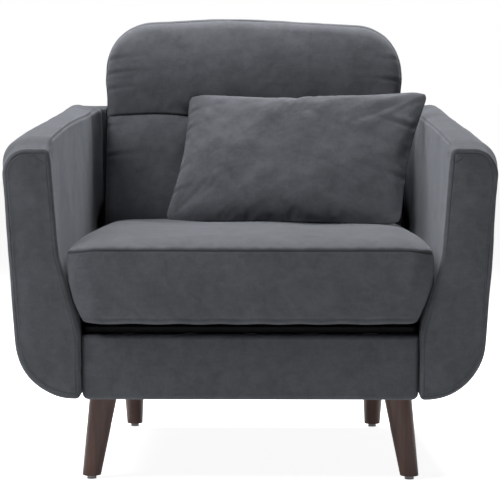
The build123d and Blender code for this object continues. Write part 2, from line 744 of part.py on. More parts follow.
def cushion_body(inset):
    """Front outline, wider at its top seam, crossed with the crowned side outline."""
    with BuildPart() as body:
        with BuildSketch(Plane.XZ):
            with BuildLine():
                FilletPolyline(
                    (-CUSHION_BASE_HALF, CUSHION_BASE_Z),
                    (CUSHION_BASE_HALF, CUSHION_BASE_Z),
                    (CUSHION_SEAM_HALF, CUSHION_SEAM_Z),
                    (0, CUSHION_APEX_Z),
                    (-CUSHION_SEAM_HALF, CUSHION_SEAM_Z),
                    radius=CUSHION_FRONT_RADII,
                    close=True,
                )
            make_face()
            if inset:
                offset(amount=-inset, mode=Mode.REPLACE)
        extrude(amount=HIDDEN_LENGTH, both=True)
        with BuildSketch(Plane.YZ):
            with BuildLine():
                FilletPolyline(
                    (CUSHION_FRONT_Y, CUSHION_BASE_Z),
                    (CUSHION_REAR_Y, CUSHION_BASE_Z),
                    (CUSHION_REAR_Y, CUSHION_REAR_SEAM_Z),
                    (CUSHION_CREST_REAR_Y, CUSHION_CROWN_Z),
                    (CUSHION_CREST_FRONT_Y, CUSHION_CROWN_Z),
                    (CUSHION_FRONT_Y, CUSHION_FRONT_SEAM_Z),
                    radius=CUSHION_SIDE_RADII,
                    close=True,
                )
            make_face()
            if inset:
                offset(amount=-inset, mode=Mode.REPLACE)
        extrude(amount=HIDDEN_LENGTH, both=True, mode=Mode.INTERSECT)
    return body.part


with BuildPart() as seat_cushion_cover:
    add(cushion_body(0))
    add(cushion_body(CUSHION_COVER), mode=Mode.SUBTRACT)
write(seat_cushion_cover.part, "seat_cushion_cover")

with BuildPart() as seat_cushion_wrap:
    add(cushion_body(CUSHION_COVER))
    add(cushion_body(CUSHION_WRAP), mode=Mode.SUBTRACT)
write(seat_cushion_wrap.part, "seat_cushion_wrap")

write(cushion_body(CUSHION_WRAP), "seat_cushion_foam")

COIL_Y = CUSHION_REAR_Y + ZIP_TAPE_THICKNESS
SLIDER_Y = COIL_Y + ZIP_COIL_HEIGHT + ZIP_SLIDER_GAP
POST_Y = SLIDER_Y + SLIDER_THICKNESS

with BuildPart() as seat_zip_tape:
    with BuildSketch(Plane.XZ.offset(-CUSHION_REAR_Y)):
        with Locations((0, ZIP_Z)):
            Rectangle(2 * ZIP_HALF_LENGTH, ZIP_TAPE_WIDTH)
    extrude(amount=-ZIP_TAPE_THICKNESS)
    with BuildSketch(Plane.XZ.offset(-COIL_Y)):
        with Locations((0, ZIP_Z)):
            Rectangle(2 * ZIP_HALF_LENGTH, ZIP_COIL_WIDTH)
    extrude(amount=-ZIP_COIL_HEIGHT)
write(seat_zip_tape.part, "seat_zip_tape")

with BuildPart() as seat_zip_slider:
    with BuildSketch(Plane.XZ.offset(-SLIDER_Y)):
        with Locations((ZIP_SLIDER_X, ZIP_Z)):
            RectangleRounded(SLIDER_WIDTH, SLIDER_HEIGHT, SLIDER_CORNER)
    extrude(amount=-SLIDER_THICKNESS)
    with BuildSketch(Plane.XZ.offset(-POST_Y)):
        with Locations((ZIP_SLIDER_X, ZIP_Z)):
            Circle(SLIDER_POST_RADIUS)
    extrude(amount=-SLIDER_POST_LENGTH)
write(seat_zip_slider.part, "seat_zip_slider")

with BuildPart() as seat_zip_pull:
    with BuildSketch(Plane.XZ.offset(-POST_Y - ZIP_SLIDER_GAP)):
        with Locations((ZIP_SLIDER_X, ZIP_Z - PULL_TAB_LENGTH / 2 + PULL_TAB_WIDTH / 2)):
            RectangleRounded(PULL_TAB_WIDTH, PULL_TAB_LENGTH, PULL_TAB_CORNER)
        with Locations((ZIP_SLIDER_X, ZIP_Z)):
            Circle(PULL_TAB_HOLE_RADIUS, mode=Mode.SUBTRACT)
    extrude(amount=-PULL_TAB_THICKNESS)
write(seat_zip_pull.part, "seat_zip_pull")

# ---------------------------------------------------------------- lumbar pillow

YAW = math.radians(PILLOW_YAW)
LEAN = math.radians(PILLOW_LEAN)
PILLOW_PLANE = Plane(
    origin=PILLOW_CENTRE,
    x_dir=(math.cos(YAW), -math.sin(YAW), 0),
    z_dir=(-math.sin(YAW) * math.cos(LEAN), -math.cos(YAW) * math.cos(LEAN), math.sin(LEAN)),
)
# Share of the half thickness, of the width and of the height, and the corner rounding
PILLOW_LAYERS = [
    (1.0, 0.42, 0.30, 44),
    (0.80, 0.68, 0.60, 44),
    (0.42, 0.88, 0.85, 32),
    (0.0, 1.0, 1.0, 14),
]


def pillow_body(inset):
    """Crowned closed pillow, widest at its seam."""
    half = PILLOW_THICKNESS / 2 - inset
    layers = [(-share, *rest) for share, *rest in PILLOW_LAYERS]
    layers += PILLOW_LAYERS[-2::-1]
    with BuildPart() as body:
        for share, wide, high, corner in layers:
            with BuildSketch(PILLOW_PLANE.offset(share * half)):
                width = PILLOW_WIDTH * wide - 2 * inset
                RectangleRounded(width, PILLOW_HEIGHT * high - 2 * inset, corner - inset)
        loft(ruled=True)
    return body.part


with BuildPart() as pillow_cover:
    add(pillow_body(0))
    add(pillow_body(PILLOW_COVER), mode=Mode.SUBTRACT)
write(pillow_cover.part, "pillow_cover")
write(pillow_body(PILLOW_COVER), "pillow_insert")
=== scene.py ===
"""The looks of the upholstered armchair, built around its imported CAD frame.

Metres, in the CAD model's frame: +X is the viewer's right, +Y the rear, +Z up.
"""

import json
import math

import bmesh
import bpy
import numpy as np
from mathutils import Matrix, Vector


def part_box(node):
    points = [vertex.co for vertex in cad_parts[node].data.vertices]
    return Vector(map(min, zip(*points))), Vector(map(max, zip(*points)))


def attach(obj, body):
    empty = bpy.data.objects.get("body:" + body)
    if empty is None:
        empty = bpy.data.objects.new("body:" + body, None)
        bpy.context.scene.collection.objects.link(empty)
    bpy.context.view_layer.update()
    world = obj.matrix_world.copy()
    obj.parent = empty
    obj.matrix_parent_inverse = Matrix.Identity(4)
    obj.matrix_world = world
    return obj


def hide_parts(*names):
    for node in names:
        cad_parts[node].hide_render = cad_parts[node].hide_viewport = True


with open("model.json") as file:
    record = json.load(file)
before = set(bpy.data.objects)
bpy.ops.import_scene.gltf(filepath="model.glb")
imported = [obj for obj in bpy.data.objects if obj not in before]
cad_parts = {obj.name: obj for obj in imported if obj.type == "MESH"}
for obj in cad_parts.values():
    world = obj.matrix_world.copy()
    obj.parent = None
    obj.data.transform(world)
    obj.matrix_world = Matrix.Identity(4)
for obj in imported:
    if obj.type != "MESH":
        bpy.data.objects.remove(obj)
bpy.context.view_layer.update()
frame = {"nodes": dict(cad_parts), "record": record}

SEED = 7

# ---------------------------------------------------------------- mesh tools


def waves(points, size, seed, octaves=2):
    """Smooth random field, about -1 to 1, with features of that size."""
    rng = np.random.default_rng(SEED + seed)
    flat = points.reshape(-1, 3)
    total = np.zeros(len(flat))
    for octave in range(octaves):
        directions = rng.normal(size=(16, 3))
        directions /= np.linalg.norm(directions, axis=1)[:, None]
        lengths = 2 * math.pi * 2**octave / size * rng.uniform(0.6, 1.3, (16, 1))
        phases = rng.uniform(0, 2 * math.pi, 16)
        total += np.sin(flat @ (directions * lengths).T + phases).sum(1) / 4 / 2**octave
    return total.reshape(points.shape[:-1])


def bump(distance, width):
    """Bell curve of height 1."""
    return np.exp(-((distance / width) ** 2))


def rise(distance, width):
    """Quarter-ellipse rise from 0 at the edge to 1 at width and beyond."""
    share = np.clip(distance / width, 0, 1)
    return np.sqrt(np.clip(1 - (1 - share) ** 2, 0, 1))


def ease(value, low, high):
    """Smooth step from 0 at low to 1 at high."""
    share = np.clip((value - low) / (high - low), 0, 1)
    return share * share * (3 - 2 * share)


def rounded_outline(corners, radii, arc_points, line_points):
    """Closed outline of straight runs and tangent arcs, with a set number of points on each."""
    corners = [np.array(corner, float) for corner in corners]
    starts, ends, arcs = [], [], []
    for i, corner in enumerate(corners):
        back = corners[i - 1] - corner
        ahead = corners[(i + 1) % len(corners)] - corner
        back /= np.linalg.norm(back)
        ahead /= np.linalg.norm(ahead)
        half = math.acos(np.clip(back @ ahead, -1, 1)) / 2
        reach = radii[i] / math.tan(half)
        middle = back + ahead
        centre = corner + middle / np.linalg.norm(middle) * radii[i] / math.sin(half)
        start, end = corner + back * reach, corner + ahead * reach
        angle_0 = math.atan2(*(start - centre)[::-1])
        turn = math.atan2(*(end - centre)[::-1]) - angle_0
        turn = (turn + math.pi) % (2 * math.pi) - math.pi
        angles = angle_0 + turn * np.linspace(0, 1, arc_points[i])
        arcs.append(centre + radii[i] * np.stack([np.cos(angles), np.sin(angles)], 1))
        starts.append(start)
        ends.append(end)
    points = []
    for i, arc in enumerate(arcs):
        points.append(arc)
        share = np.linspace(0, 1, line_points[i] + 2)[1:-1, None]
        points.append(ends[i] + (starts[(i + 1) % len(arcs)] - ends[i]) * share)
    return np.concatenate(points)


def normals_of(outline):
    """Outward normals of a closed outline that runs anticlockwise."""
    along = np.roll(outline, -1, 0) - np.roll(outline, 1, 0)
    along /= np.linalg.norm(along, axis=1)[:, None]
    return np.stack([along[:, 1], -along[:, 0]], 1)


def lengths_of(outline):
    """Distance run along an outline at each of its points."""
    steps = np.linalg.norm(np.diff(outline, axis=0), axis=1)
    return np.concatenate([[0], np.cumsum(steps)])


def distance_to(outline, x, z):
    """Distance of each (x, z) from the nearest point of an outline."""
    spots = np.stack([x.ravel(), z.ravel()], 1)
    nearest = np.full(len(spots), 1e9)
    for a, b in zip(outline, np.roll(outline, -1, 0)):
        run = b - a
        share = np.clip((spots - a) @ run / max(run @ run, 1e-12), 0, 1)
        gap = np.linalg.norm(spots - a - share[:, None] * run, axis=1)
        nearest = np.minimum(nearest, gap)
    return nearest.reshape(x.shape)


def mesh_object(name, points, faces, corner_uv, crease_shade=None, weld=0.0):
    """Mesh with a UV map in metres and, where given, a value of painted shade for seams and folds at each
    point.
    """
    mesh = bpy.data.meshes.new(name)
    mesh.from_pydata(points.tolist(), [], faces.tolist())
    layer = mesh.uv_layers.new(name="weave")
    layer.data.foreach_set("uv", corner_uv.astype(np.float32).ravel())
    attribute = mesh.attributes.new("crease_shade", "FLOAT", "POINT")
    values = np.zeros(len(points)) if crease_shade is None else crease_shade
    attribute.data.foreach_set("value", values.astype(np.float32).ravel())
    piece = bpy.data.objects.new(name, mesh)
    bpy.context.scene.collection.objects.link(piece)
    if weld:
        work = bmesh.new()
        work.from_mesh(mesh)
        bmesh.ops.remove_doubles(work, verts=work.verts, dist=weld)
        work.to_mesh(mesh)
        work.free()
    mesh.shade_smooth()
    return piece


def face_outward(piece, inside):
    """Turn an open surface's faces to look away from a point inside it."""
    mesh = piece.data
    count = len(mesh.polygons)
    centres, directions, areas = np.zeros(3 * count), np.zeros(3 * count), np.zeros(count)
    mesh.polygons.foreach_get("center", centres)
    mesh.polygons.foreach_get("normal", directions)
    mesh.polygons.foreach_get("area", areas)
    outward = centres.reshape(-1, 3) - np.array(inside)
    if ((outward * directions.reshape(-1, 3)).sum(1) * areas).sum() < 0:
        mesh.flip_normals()
    return piece


def grid_object(name, points, uv, inside, closed=False, crease_shade=None, weld=0.0):
    """Surface through rows of points. A closed one joins its last column to its first."""
    rows, columns = points.shape[:2]
    index = np.arange(rows * columns).reshape(rows, columns)
    if closed:
        index = np.concatenate([index, index[:, :1]], 1)
    corners = [(slice(None, -1), slice(None, -1)), (slice(1, None), slice(None, -1))]
    corners += [(slice(1, None), slice(1, None)), (slice(None, -1), slice(1, None))]
    faces = np.stack([index[c] for c in corners], -1).reshape(-1, 4)
    corner_uv = np.stack([uv[c] for c in corners], -2).reshape(-1, 2)
    flat = points.reshape(-1, 3)
    piece = mesh_object(name, flat, faces, corner_uv, crease_shade, weld)
    return face_outward(piece, inside)


def stitches(name, path, normals, pitch, length, radius):
    """Row of short thread stitches lying on a path."""
    run = lengths_of(path)
    count = int(run[-1] / pitch)
    # Each ring of a stitch: its place along it, its thickness and its height over the cloth
    rings = [(-0.5, 0.35, -0.35), (-0.3, 1.0, 0.15), (0.0, 1.1, 0.35), (0.3, 1.0, 0.15), (0.5, 0.35, -0.35)]
    sides = 6
    points, faces = [], []
    for number in range(count):
        at = (number + 0.5) * pitch
        centre = np.array([np.interp(at, run, path[:, k]) for k in range(3)])
        ahead = np.array([np.interp(at + pitch / 4, run, path[:, k]) for k in range(3)]) - centre
        up = np.array([np.interp(at, run, normals[:, k]) for k in range(3)])
        ahead /= max(np.linalg.norm(ahead), 1e-9)
        across = np.cross(ahead, up)
        across /= max(np.linalg.norm(across), 1e-9)
        up = np.cross(across, ahead)
        base = len(points)
        for share, thick, lift in rings:
            for side in range(sides):
                angle = 2 * math.pi * side / sides
                offset = across * math.cos(angle) + up * math.sin(angle)
                spot = centre + ahead * share * length + up * lift * radius + offset * thick * radius
                points.append(spot)
        for ring in range(len(rings) - 1):
            for side in range(sides):
                a = base + ring * sides + side
                b = base + ring * sides + (side + 1) % sides
                faces.append((a, b, b + sides, a + sides))
    faces = np.array(faces)
    uv = np.zeros((faces.size, 2))
    piece = mesh_object(name, np.array(points), faces, uv)
    work = bmesh.new()
    work.from_mesh(piece.data)
    bmesh.ops.holes_fill(work, edges=work.edges, sides=sides)
    bmesh.ops.recalc_face_normals(work, faces=work.faces)
    work.to_mesh(piece.data)
    work.free()
    return piece


# ---------------------------------------------------------------- materials


class Nodes:
    """Short way to build a node material."""

    def __init__(self, name):
        self.material = bpy.data.materials.new(name)
        self.material.use_nodes = True
        self.tree = self.material.node_tree
        self.shader = self.tree.nodes["Principled BSDF"]

    def add(self, kind, links=None, **settings):
        node = self.tree.nodes.new(kind)
        for key, value in settings.items():
            setattr(node, key, value)
        for key, value in (links or {}).items():
            self.set(node.inputs[key], value)
        return node

    def set(self, socket, value):
        if isinstance(value, bpy.types.NodeSocket):
            self.tree.links.new(value, socket)
        else:
            socket.default_value = value

    def noise(self, vector, scale, detail=2.0, distortion=0.0):
        links = {"Vector": vector, "Scale": scale, "Detail": detail, "Distortion": distortion}
        return self.add("ShaderNodeTexNoise", links).outputs["Fac"]

    def stretch(self, vector, scale):
        return self.add("ShaderNodeMapping", {"Vector": vector, "Scale": scale}).outputs["Vector"]

    def math(self, operation, a, b):
        return self.add("ShaderNodeMath", {0: a, 1: b}, operation=operation).outputs[0]

    def remap(self, value, low, high, to_low, to_high):
        links = {"Value": value, 1: low, 2: high, 3: to_low, 4: to_high}
        return self.add("ShaderNodeMapRange", links).outputs[0]

    def tint(self, colour, amount):
        """Colour times a factor."""
        node = self.add("ShaderNodeVectorMath", {0: colour}, operation="SCALE")
        self.set(node.inputs["Scale"], amount)
        return node.outputs[0]

    def blend(self, factor, a, b):
        node = self.add("ShaderNodeMix", data_type="RGBA")
        self.set(node.inputs["Factor"], factor)
        self.set(node.inputs["A"], a)
        self.set(node.inputs["B"], b)
        return node.outputs["Result"]

    def bumps(self, height, strength, distance):
        links = {"Height": height, "Strength": strength, "Distance": distance}
        node = self.add("ShaderNodeBump", links)
        self.set(self.shader.inputs["Normal"], node.outputs["Normal"])

    def surface(self, **values):
        for name, value in values.items():
            self.set(self.shader.inputs[name.replace("_", " ")], value)


def woven(name, colour, thread, sheen, mottle=0.11, fuzz=0.5):
    """Soft woven cloth: two thread directions, nap mottling, and painted shade darkening its seams and
    creases.
    """
    n = Nodes(name)
    uv = n.add("ShaderNodeUVMap", uv_map="weave").outputs["UV"]
    band = 2 * math.pi / (20 * thread)
    bands = [
        n.add(
            "ShaderNodeTexWave",
            {"Vector": uv, "Scale": band, "Distortion": 1.2, "Detail": 1.0, "Detail Scale": 0.6},
            bands_direction=direction,
        ).outputs["Fac"]
        for direction in ("X", "Y")
    ]
    weave = n.math("MULTIPLY", bands[0], bands[1])
    pile = n.noise(uv, 1.1 / thread, 3.0)
    height = n.math("ADD", weave, n.math("MULTIPLY", pile, fuzz))
    shade = n.remap(weave, 0.0, 1.0, 0.95, 1.05)
    # Nap brushed this way and that: broad clouds, palm-sized patches and fine flecks
    for vector, scale, share in (
        (uv, 11.0, 0.8),
        (uv, 42.0, 0.9),
        (n.stretch(uv, (60.0, 200.0, 1.0)), 1.0, 0.45),
        (n.stretch(uv, (260.0, 110.0, 1.0)), 1.0, 0.45),
    ):
        patch = n.noise(vector, scale, 3.0, 0.7)
        shade = n.math("MULTIPLY", shade, n.remap(patch, 0.3, 0.7, 1 - mottle * share, 1 + mottle * share))
    # Painted shade: the per-point attribute darkens the colour down to 0.55 in seams, grooves and folds.
    crease_shade = n.add("ShaderNodeAttribute", attribute_name="crease_shade").outputs["Fac"]
    shade = n.math("MULTIPLY", shade, n.remap(crease_shade, 0.0, 1.0, 1.0, 0.55))
    roughness = n.remap(pile, 0.2, 0.8, 0.86, 0.98)
    n.surface(Base_Color=n.tint(colour, shade), Roughness=roughness)
    n.surface(Specular_IOR_Level=0.25, Sheen_Weight=sheen, Sheen_Roughness=0.38)
    n.surface(Sheen_Tint=(0.80, 0.84, 0.92, 1.0))
    n.bumps(height, 0.35, thread * 0.35)
    return n.material


def grained(name, light, dark, roughness, ring, coat=0.0):
    """Timber with its grain running up the piece."""
    n = Nodes(name)
    at = n.add("ShaderNodeTexCoord").outputs["Object"]
    long_grain = n.noise(n.stretch(at, (1.0, 1.0, 0.07)), ring, 6.0, 0.8)
    fine = n.noise(n.stretch(at, (1.0, 1.0, 0.03)), ring * 14, 3.0)
    tone = n.remap(long_grain, 0.32, 0.68, 0.0, 1.0)
    colour = n.blend(tone, (*dark, 1.0), (*light, 1.0))
    colour = n.tint(colour, n.remap(fine, 0.3, 0.7, 0.82, 1.12))
    n.surface(Base_Color=colour, Roughness=n.remap(fine, 0.2, 0.8, roughness - 0.06, roughness + 0.08))
    n.surface(Specular_IOR_Level=0.5, Coat_Weight=coat, Coat_Roughness=0.28)
    n.bumps(fine, 0.12, 0.0002)
    return n.material


def metal(name, colour, roughness):
    """Drawn or plated steel with faint streaks."""
    n = Nodes(name)
    at = n.add("ShaderNodeTexCoord").outputs["Object"]
    brushed = n.noise(n.stretch(at, (900.0, 60.0, 60.0)), 1.0, 3.0)
    stain = n.noise(at, 45.0, 3.0)
    n.surface(Base_Color=n.tint(colour, n.remap(stain, 0.3, 0.7, 0.85, 1.1)), Metallic=1.0)
    n.surface(Roughness=n.remap(brushed, 0.2, 0.8, roughness - 0.08, roughness + 0.1))
    n.bumps(brushed, 0.08, 0.0001)
    return n.material


def moulded(name, colour, roughness):
    """Moulded nylon with a fine grain and scuffs."""
    n = Nodes(name)
    at = n.add("ShaderNodeTexCoord").outputs["Object"]
    grain = n.noise(at, 2600.0, 2.0)
    scuff = n.noise(at, 180.0, 4.0, 1.0)
    n.surface(Base_Color=n.tint(colour, n.remap(scuff, 0.3, 0.7, 0.85, 1.15)))
    n.surface(Roughness=n.remap(scuff, 0.3, 0.7, roughness - 0.1, roughness + 0.1), Specular_IOR_Level=0.4)
    n.bumps(grain, 0.15, 0.0001)
    return n.material


def cellular(name, colour, cell):
    """Cut foam or loose fibre."""
    n = Nodes(name)
    at = n.add("ShaderNodeTexCoord").outputs["Object"]
    cells = n.add("ShaderNodeTexVoronoi", {"Vector": at, "Scale": 1 / cell}).outputs["Distance"]
    cloud = n.noise(at, 20.0, 3.0)
    n.surface(Base_Color=n.tint(colour, n.remap(cloud, 0.3, 0.7, 0.88, 1.06)), Roughness=0.95)
    n.bumps(cells, 0.5, cell * 0.4)
    return n.material


SLATE = (0.108, 0.114, 0.128)
MATERIALS = {
    "cover_fabric": woven("cover_fabric", SLATE, 0.0011, 0.30),
    "lining_fabric": woven("lining_fabric", (0.018, 0.018, 0.020), 0.0016, 0.05, 0.08, 1.4),
    "webbing": woven("webbing", (0.05, 0.05, 0.055), 0.0022, 0.05, 0.05, 0.3),
    "zip_tape": woven("zip_tape", (0.05, 0.052, 0.06), 0.0008, 0.05, 0.04, 0.3),
    "foam": cellular("foam", (0.78, 0.72, 0.52), 0.0012),
    "fibre": cellular("fibre", (0.86, 0.86, 0.85), 0.004),
    "frame_wood": grained("frame_wood", (0.52, 0.36, 0.21), (0.36, 0.22, 0.12), 0.62, 30.0),
    "leg_wood": grained("leg_wood", (0.135, 0.060, 0.043), (0.062, 0.027, 0.020), 0.36, 55.0, 0.25),
    "glide_plastic": moulded("glide_plastic", (0.42, 0.42, 0.43), 0.5),
    "fixing_steel": metal("fixing_steel", (0.62, 0.62, 0.64), 0.34),
    "spring_steel": metal("spring_steel", (0.40, 0.40, 0.42), 0.40),
    "clip_steel": metal("clip_steel", (0.50, 0.50, 0.52), 0.38),
    "zip_metal": metal("zip_metal", (0.12, 0.12, 0.13), 0.30),
}
THREAD = woven("thread", (0.060, 0.063, 0.072), 0.0004, 0.1, 0.05, 0.3)


def finish_piece(piece, body, slot, replaced=(), material=None):
    """Material, material slot, body and the CAD nodes a piece stands for."""
    piece.data.materials.clear()
    piece.data.materials.append(material or MATERIALS[slot])
    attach(piece, body)
    if replaced:
        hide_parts(*replaced)
    return piece


for part in frame["record"]["subparts"]:
    node = frame["nodes"][part["node"]]
    node.data.materials.clear()
    node.data.materials.append(MATERIALS[part["material_slot"]])

# ---------------------------------------------------------------- arms

panel_low, panel_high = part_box("right_arm_front_panel")
ARM_FRONT = panel_low.y
ARM_BASE = panel_low.z
ARM_IN = panel_low.x
ARM_OUT = panel_high.x
ARM_TOP = panel_high.z
ARM_REAR = ARM_FRONT + 0.640
WRAP_X = ARM_IN + 0.014
REAR_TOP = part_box("right_arm_cover")[1].z
SEAM_ROLL = 0.0075

# Corners of the arm's outline at its front end and at its rear end, from its box
FRONT_CORNERS = [
    (ARM_IN, ARM_BASE),
    (ARM_OUT - 0.026, ARM_BASE),
    (ARM_OUT + 0.003, ARM_TOP),
    (ARM_IN + 0.053, ARM_TOP),
    (ARM_IN + 0.038, ARM_BASE + 0.263),
    (ARM_IN, ARM_BASE + 0.117),
]
REAR_CORNERS = [
    (ARM_IN + 0.016, ARM_BASE),
    (ARM_OUT - 0.050, ARM_BASE),
    (ARM_OUT - 0.035, REAR_TOP + 0.001),
    (ARM_IN + 0.036, REAR_TOP - 0.001),
    (ARM_IN + 0.032, ARM_BASE + 0.295),
    (ARM_IN + 0.016, ARM_BASE + 0.125),
]
FRONT_RADII = [0.008, 0.108, 0.045, 0.012, 0.150, 0.060]
REAR_RADII = [0.008, 0.060, 0.036, 0.012, 0.150, 0.060]
ARC_POINTS = [6, 30, 22, 17, 10, 10]
LINE_POINTS = [3, 60, 16, 34, 24, 20]
TOP_SEAM_ARC = 3
STITCH_PITCH = 0.0040
STITCH_LENGTH = 0.0030
THREAD_RADIUS = 0.00035
INNER_FILL = 0.014
# How far the padding fills out behind the front panel, on each side (1 right, -1 left)
CROWN = {1: 0.008, -1: 0.015}
CORNER_FILL = {1: 0.006, -1: 0.009}
CORNER_REACH = 0.095


def arm_sections():
    """Matching outlines of the two ends, their normals and the point of the inner top seam."""
    front = rounded_outline(FRONT_CORNERS, FRONT_RADII, ARC_POINTS, LINE_POINTS)
    rear = rounded_outline(REAR_CORNERS, REAR_RADII, ARC_POINTS, LINE_POINTS)
    before = sum(ARC_POINTS[:TOP_SEAM_ARC]) + sum(LINE_POINTS[:TOP_SEAM_ARC])
    return front, rear, before + ARC_POINTS[TOP_SEAM_ARC] // 2


def arm_rows():
    """(share of the way to the rear end, inset, y, wrap angle) of each ring of the arm's cover."""
    rows = [(0.0, SEAM_ROLL + 0.002, ARM_FRONT + 0.006, 0.0)]
    rows.append((0.0, SEAM_ROLL + 0.0004, ARM_FRONT + 0.0022, 0.0))
    for angle in np.radians(np.linspace(4, 90, 10)):
        inset = SEAM_ROLL * (1 - math.sin(angle))
        rows.append((0.0, inset, ARM_FRONT + SEAM_ROLL * (1 - math.cos(angle)), 0.0))
    start = ARM_FRONT + SEAM_ROLL
    for share in np.linspace(0, 1, 96)[1:] ** 1.15:
        y = start + (ARM_REAR - start) * share
        rows.append(((y - ARM_FRONT) / (ARM_REAR - ARM_FRONT), 0.0, y, 0.0))
    rows += [(1.0, 0.0, ARM_REAR, angle) for angle in np.radians(np.linspace(0, 90, 26)[1:])]
    rows += [(1.0, inset, ARM_REAR, math.pi / 2) for inset in (0.003, 0.010, 0.020)]
    return rows


def arm_cover(side):
    """Wrapped cover of one arm with its inner top seam. side is 1 for the right, -1 for the left."""
    front, rear, seam = arm_sections()
    count = len(front)
    around = lengths_of(np.concatenate([front, front[:1]]))
    from_seam = around[:count] - around[seam]
    points, uvs, creases = [], [], []
    for share, inset, y, angle in arm_rows():
        section = front + (rear - front) * share
        out = normals_of(section)
        run = (y - ARM_FRONT) + angle * 0.08
        spot = np.stack([section[:, 0] * side, np.full(count, run), section[:, 1]], 1)
        high = ease(section[:, 1], ARM_TOP - 0.07, ARM_TOP - 0.01)
        inner = ease(-out[:, 0], 0.5, 0.95)
        soft = ease(run, 0.0, 0.05)
        lift = 0.0004 * waves(spot, 0.16, 3) + 0.00015 * waves(spot, 0.05, 4)
        lift += 0.0020 * high * ease(out[:, 1], 0.4, 1.0) + 0.0003 * inner
        lift += soft * CORNER_FILL[side] * (1 - 0.6 * share) * bump(from_seam + CORNER_REACH, 0.030)
        lift += INNER_FILL * inner * ease(y, 0.168, 0.225) * ease(section[:, 1], 0.44, 0.50)
        corner = bump(np.hypot(from_seam - 0.012, run - 0.020), 0.014)
        lift -= 0.0016 * corner * (0.6 + 0.4 * np.sin(from_seam * 320 - run * 160))
        # Folds across the top where the arm turns in to the back
        for place, size in ((0.600, 0.0020), (0.640, 0.0014), (0.560, 0.0010)):
            slant = run - place - 0.25 * from_seam
            lift -= size * bump(slant, 0.006) * bump(from_seam + 0.012, 0.045)
            lift += 0.6 * size * bump(slant - 0.012, 0.008) * bump(from_seam + 0.012, 0.045)
        groove = bump(from_seam, 0.0016)
        lift += soft * (0.0007 * bump(np.abs(from_seam) - 0.004, 0.003) - 0.0016 * groove)
        lift[:] = np.where(inset > SEAM_ROLL, 0.0, lift)
        flat = section + out * (lift - inset)[:, None]
        crown = CROWN[side] * ease(run, 0.003, 0.052) * (1 - ease(share, 0.25, 0.95))
        flat[:, 1] += crown * ease(section[:, 1], ARM_TOP - 0.10, ARM_TOP - 0.01)
        # Towards the rear the top falls to its inner seam and rises to its outer edge
        across = ease(section[:, 0], ARM_IN + 0.036, ARM_OUT - 0.035) - 0.5
        flat[:, 1] += 0.011 * ease(share, 0.45, 1.0) * across * ease(section[:, 1], 0.55, 0.68)
        x = WRAP_X + (flat[:, 0] - WRAP_X) * math.cos(angle)
        y_out = y + (flat[:, 0] - WRAP_X) * math.sin(angle)
        points.append(np.stack([x, y_out, flat[:, 1]], 1))
        uvs.append(np.stack([around, np.full(count + 1, run)], 1))
        # Painted shade: darker in the groove of the inner top seam, and on the two rows tucked into the
        # front seam everywhere but the inner face.
        outer = ease(out[:, 0], -0.6, 0.2)
        edge = 0.3 * outer if inset > SEAM_ROLL else 0.0
        creases.append(np.clip(np.maximum(0.8 * soft * groove, edge), 0, 1))
    points = np.array(points)
    points[..., 0] *= side
    inside = (side * (ARM_IN + ARM_OUT) / 2, 0.0, 0.42)
    name = "arm_cover_right" if side > 0 else "arm_cover_left"
    return grid_object(name, points, np.array(uvs), inside, closed=True, crease_shade=np.array(creases).ravel())


def crossing_rows(outline, levels, across):
    """Row of points at each level, from one side of an upright outline to the other."""
    closed = np.concatenate([outline, outline[:1]])
    grid = []
    for level in levels:
        z_a, z_b = closed[:-1, 1], closed[1:, 1]
        hit = (z_a - level) * (z_b - level) <= 0
        share = (level - z_a[hit]) / np.where(z_b[hit] == z_a[hit], 1e-9, z_b[hit] - z_a[hit])
        crossings = closed[:-1, 0][hit] + share * (closed[1:, 0][hit] - closed[:-1, 0][hit])
        x = crossings.min() + (crossings.max() - crossings.min()) * across
        grid.append(np.stack([x, np.full(len(across), level)], 1))
    return np.array(grid)


def panel_grid(outline, rows, columns):
    """Grid over an upright outline, with its points closer together at the edge."""
    low, high = outline[:, 1].min(), outline[:, 1].max()
    levels = low + (high - low) * (1 - np.cos(np.linspace(0.003, 0.997, rows) * math.pi)) / 2
    across = (1 - np.cos(np.linspace(0, 1, columns) * math.pi)) / 2
    return crossing_rows(outline, levels, across)


def arm_front_panel(side):
    """Sewn front panel of one arm, a little crowned, tucked into its seam."""
    front = arm_sections()[0]
    border = front - normals_of(front) * (SEAM_ROLL - 0.0003)
    grid = panel_grid(border, 150, 44)
    x, z = grid[..., 0], grid[..., 1]
    edge = distance_to(border, x, z)
    spot = np.stack([x * side, np.full_like(x, 0.3), z], -1)
    y = ARM_FRONT + 0.0006 - 0.0010 * rise(edge, 0.003) - 0.0024 * ease(edge, 0.0, 0.03)
    y -= 0.0006 * waves(spot, 0.14, 8) + 0.0001 * waves(spot, 0.04, 9)
    # One short tuck below the inner top corner
    along = (x - ARM_IN - 0.066) - 1.6 * (z - ARM_TOP + 0.020)
    y += 0.0022 * bump(along, 0.004) * bump(np.hypot(x - ARM_IN - 0.070, z - ARM_TOP + 0.020), 0.010)
    points = np.stack([x * side, y, z], -1)
    uv = np.stack([x, z], -1)
    # Painted shade along the panel's seam, fading out towards its inner edge.
    crease_shade = (0.25 * bump(edge, 0.0010) * ease(x, ARM_IN + 0.06, ARM_IN + 0.08)).ravel()
    name = "arm_front_panel_right" if side > 0 else "arm_front_panel_left"
    inside = (side * (ARM_IN + ARM_OUT) / 2, ARM_FRONT + 0.3, 0.4)
    return grid_object(name, points, uv, inside, crease_shade=crease_shade)


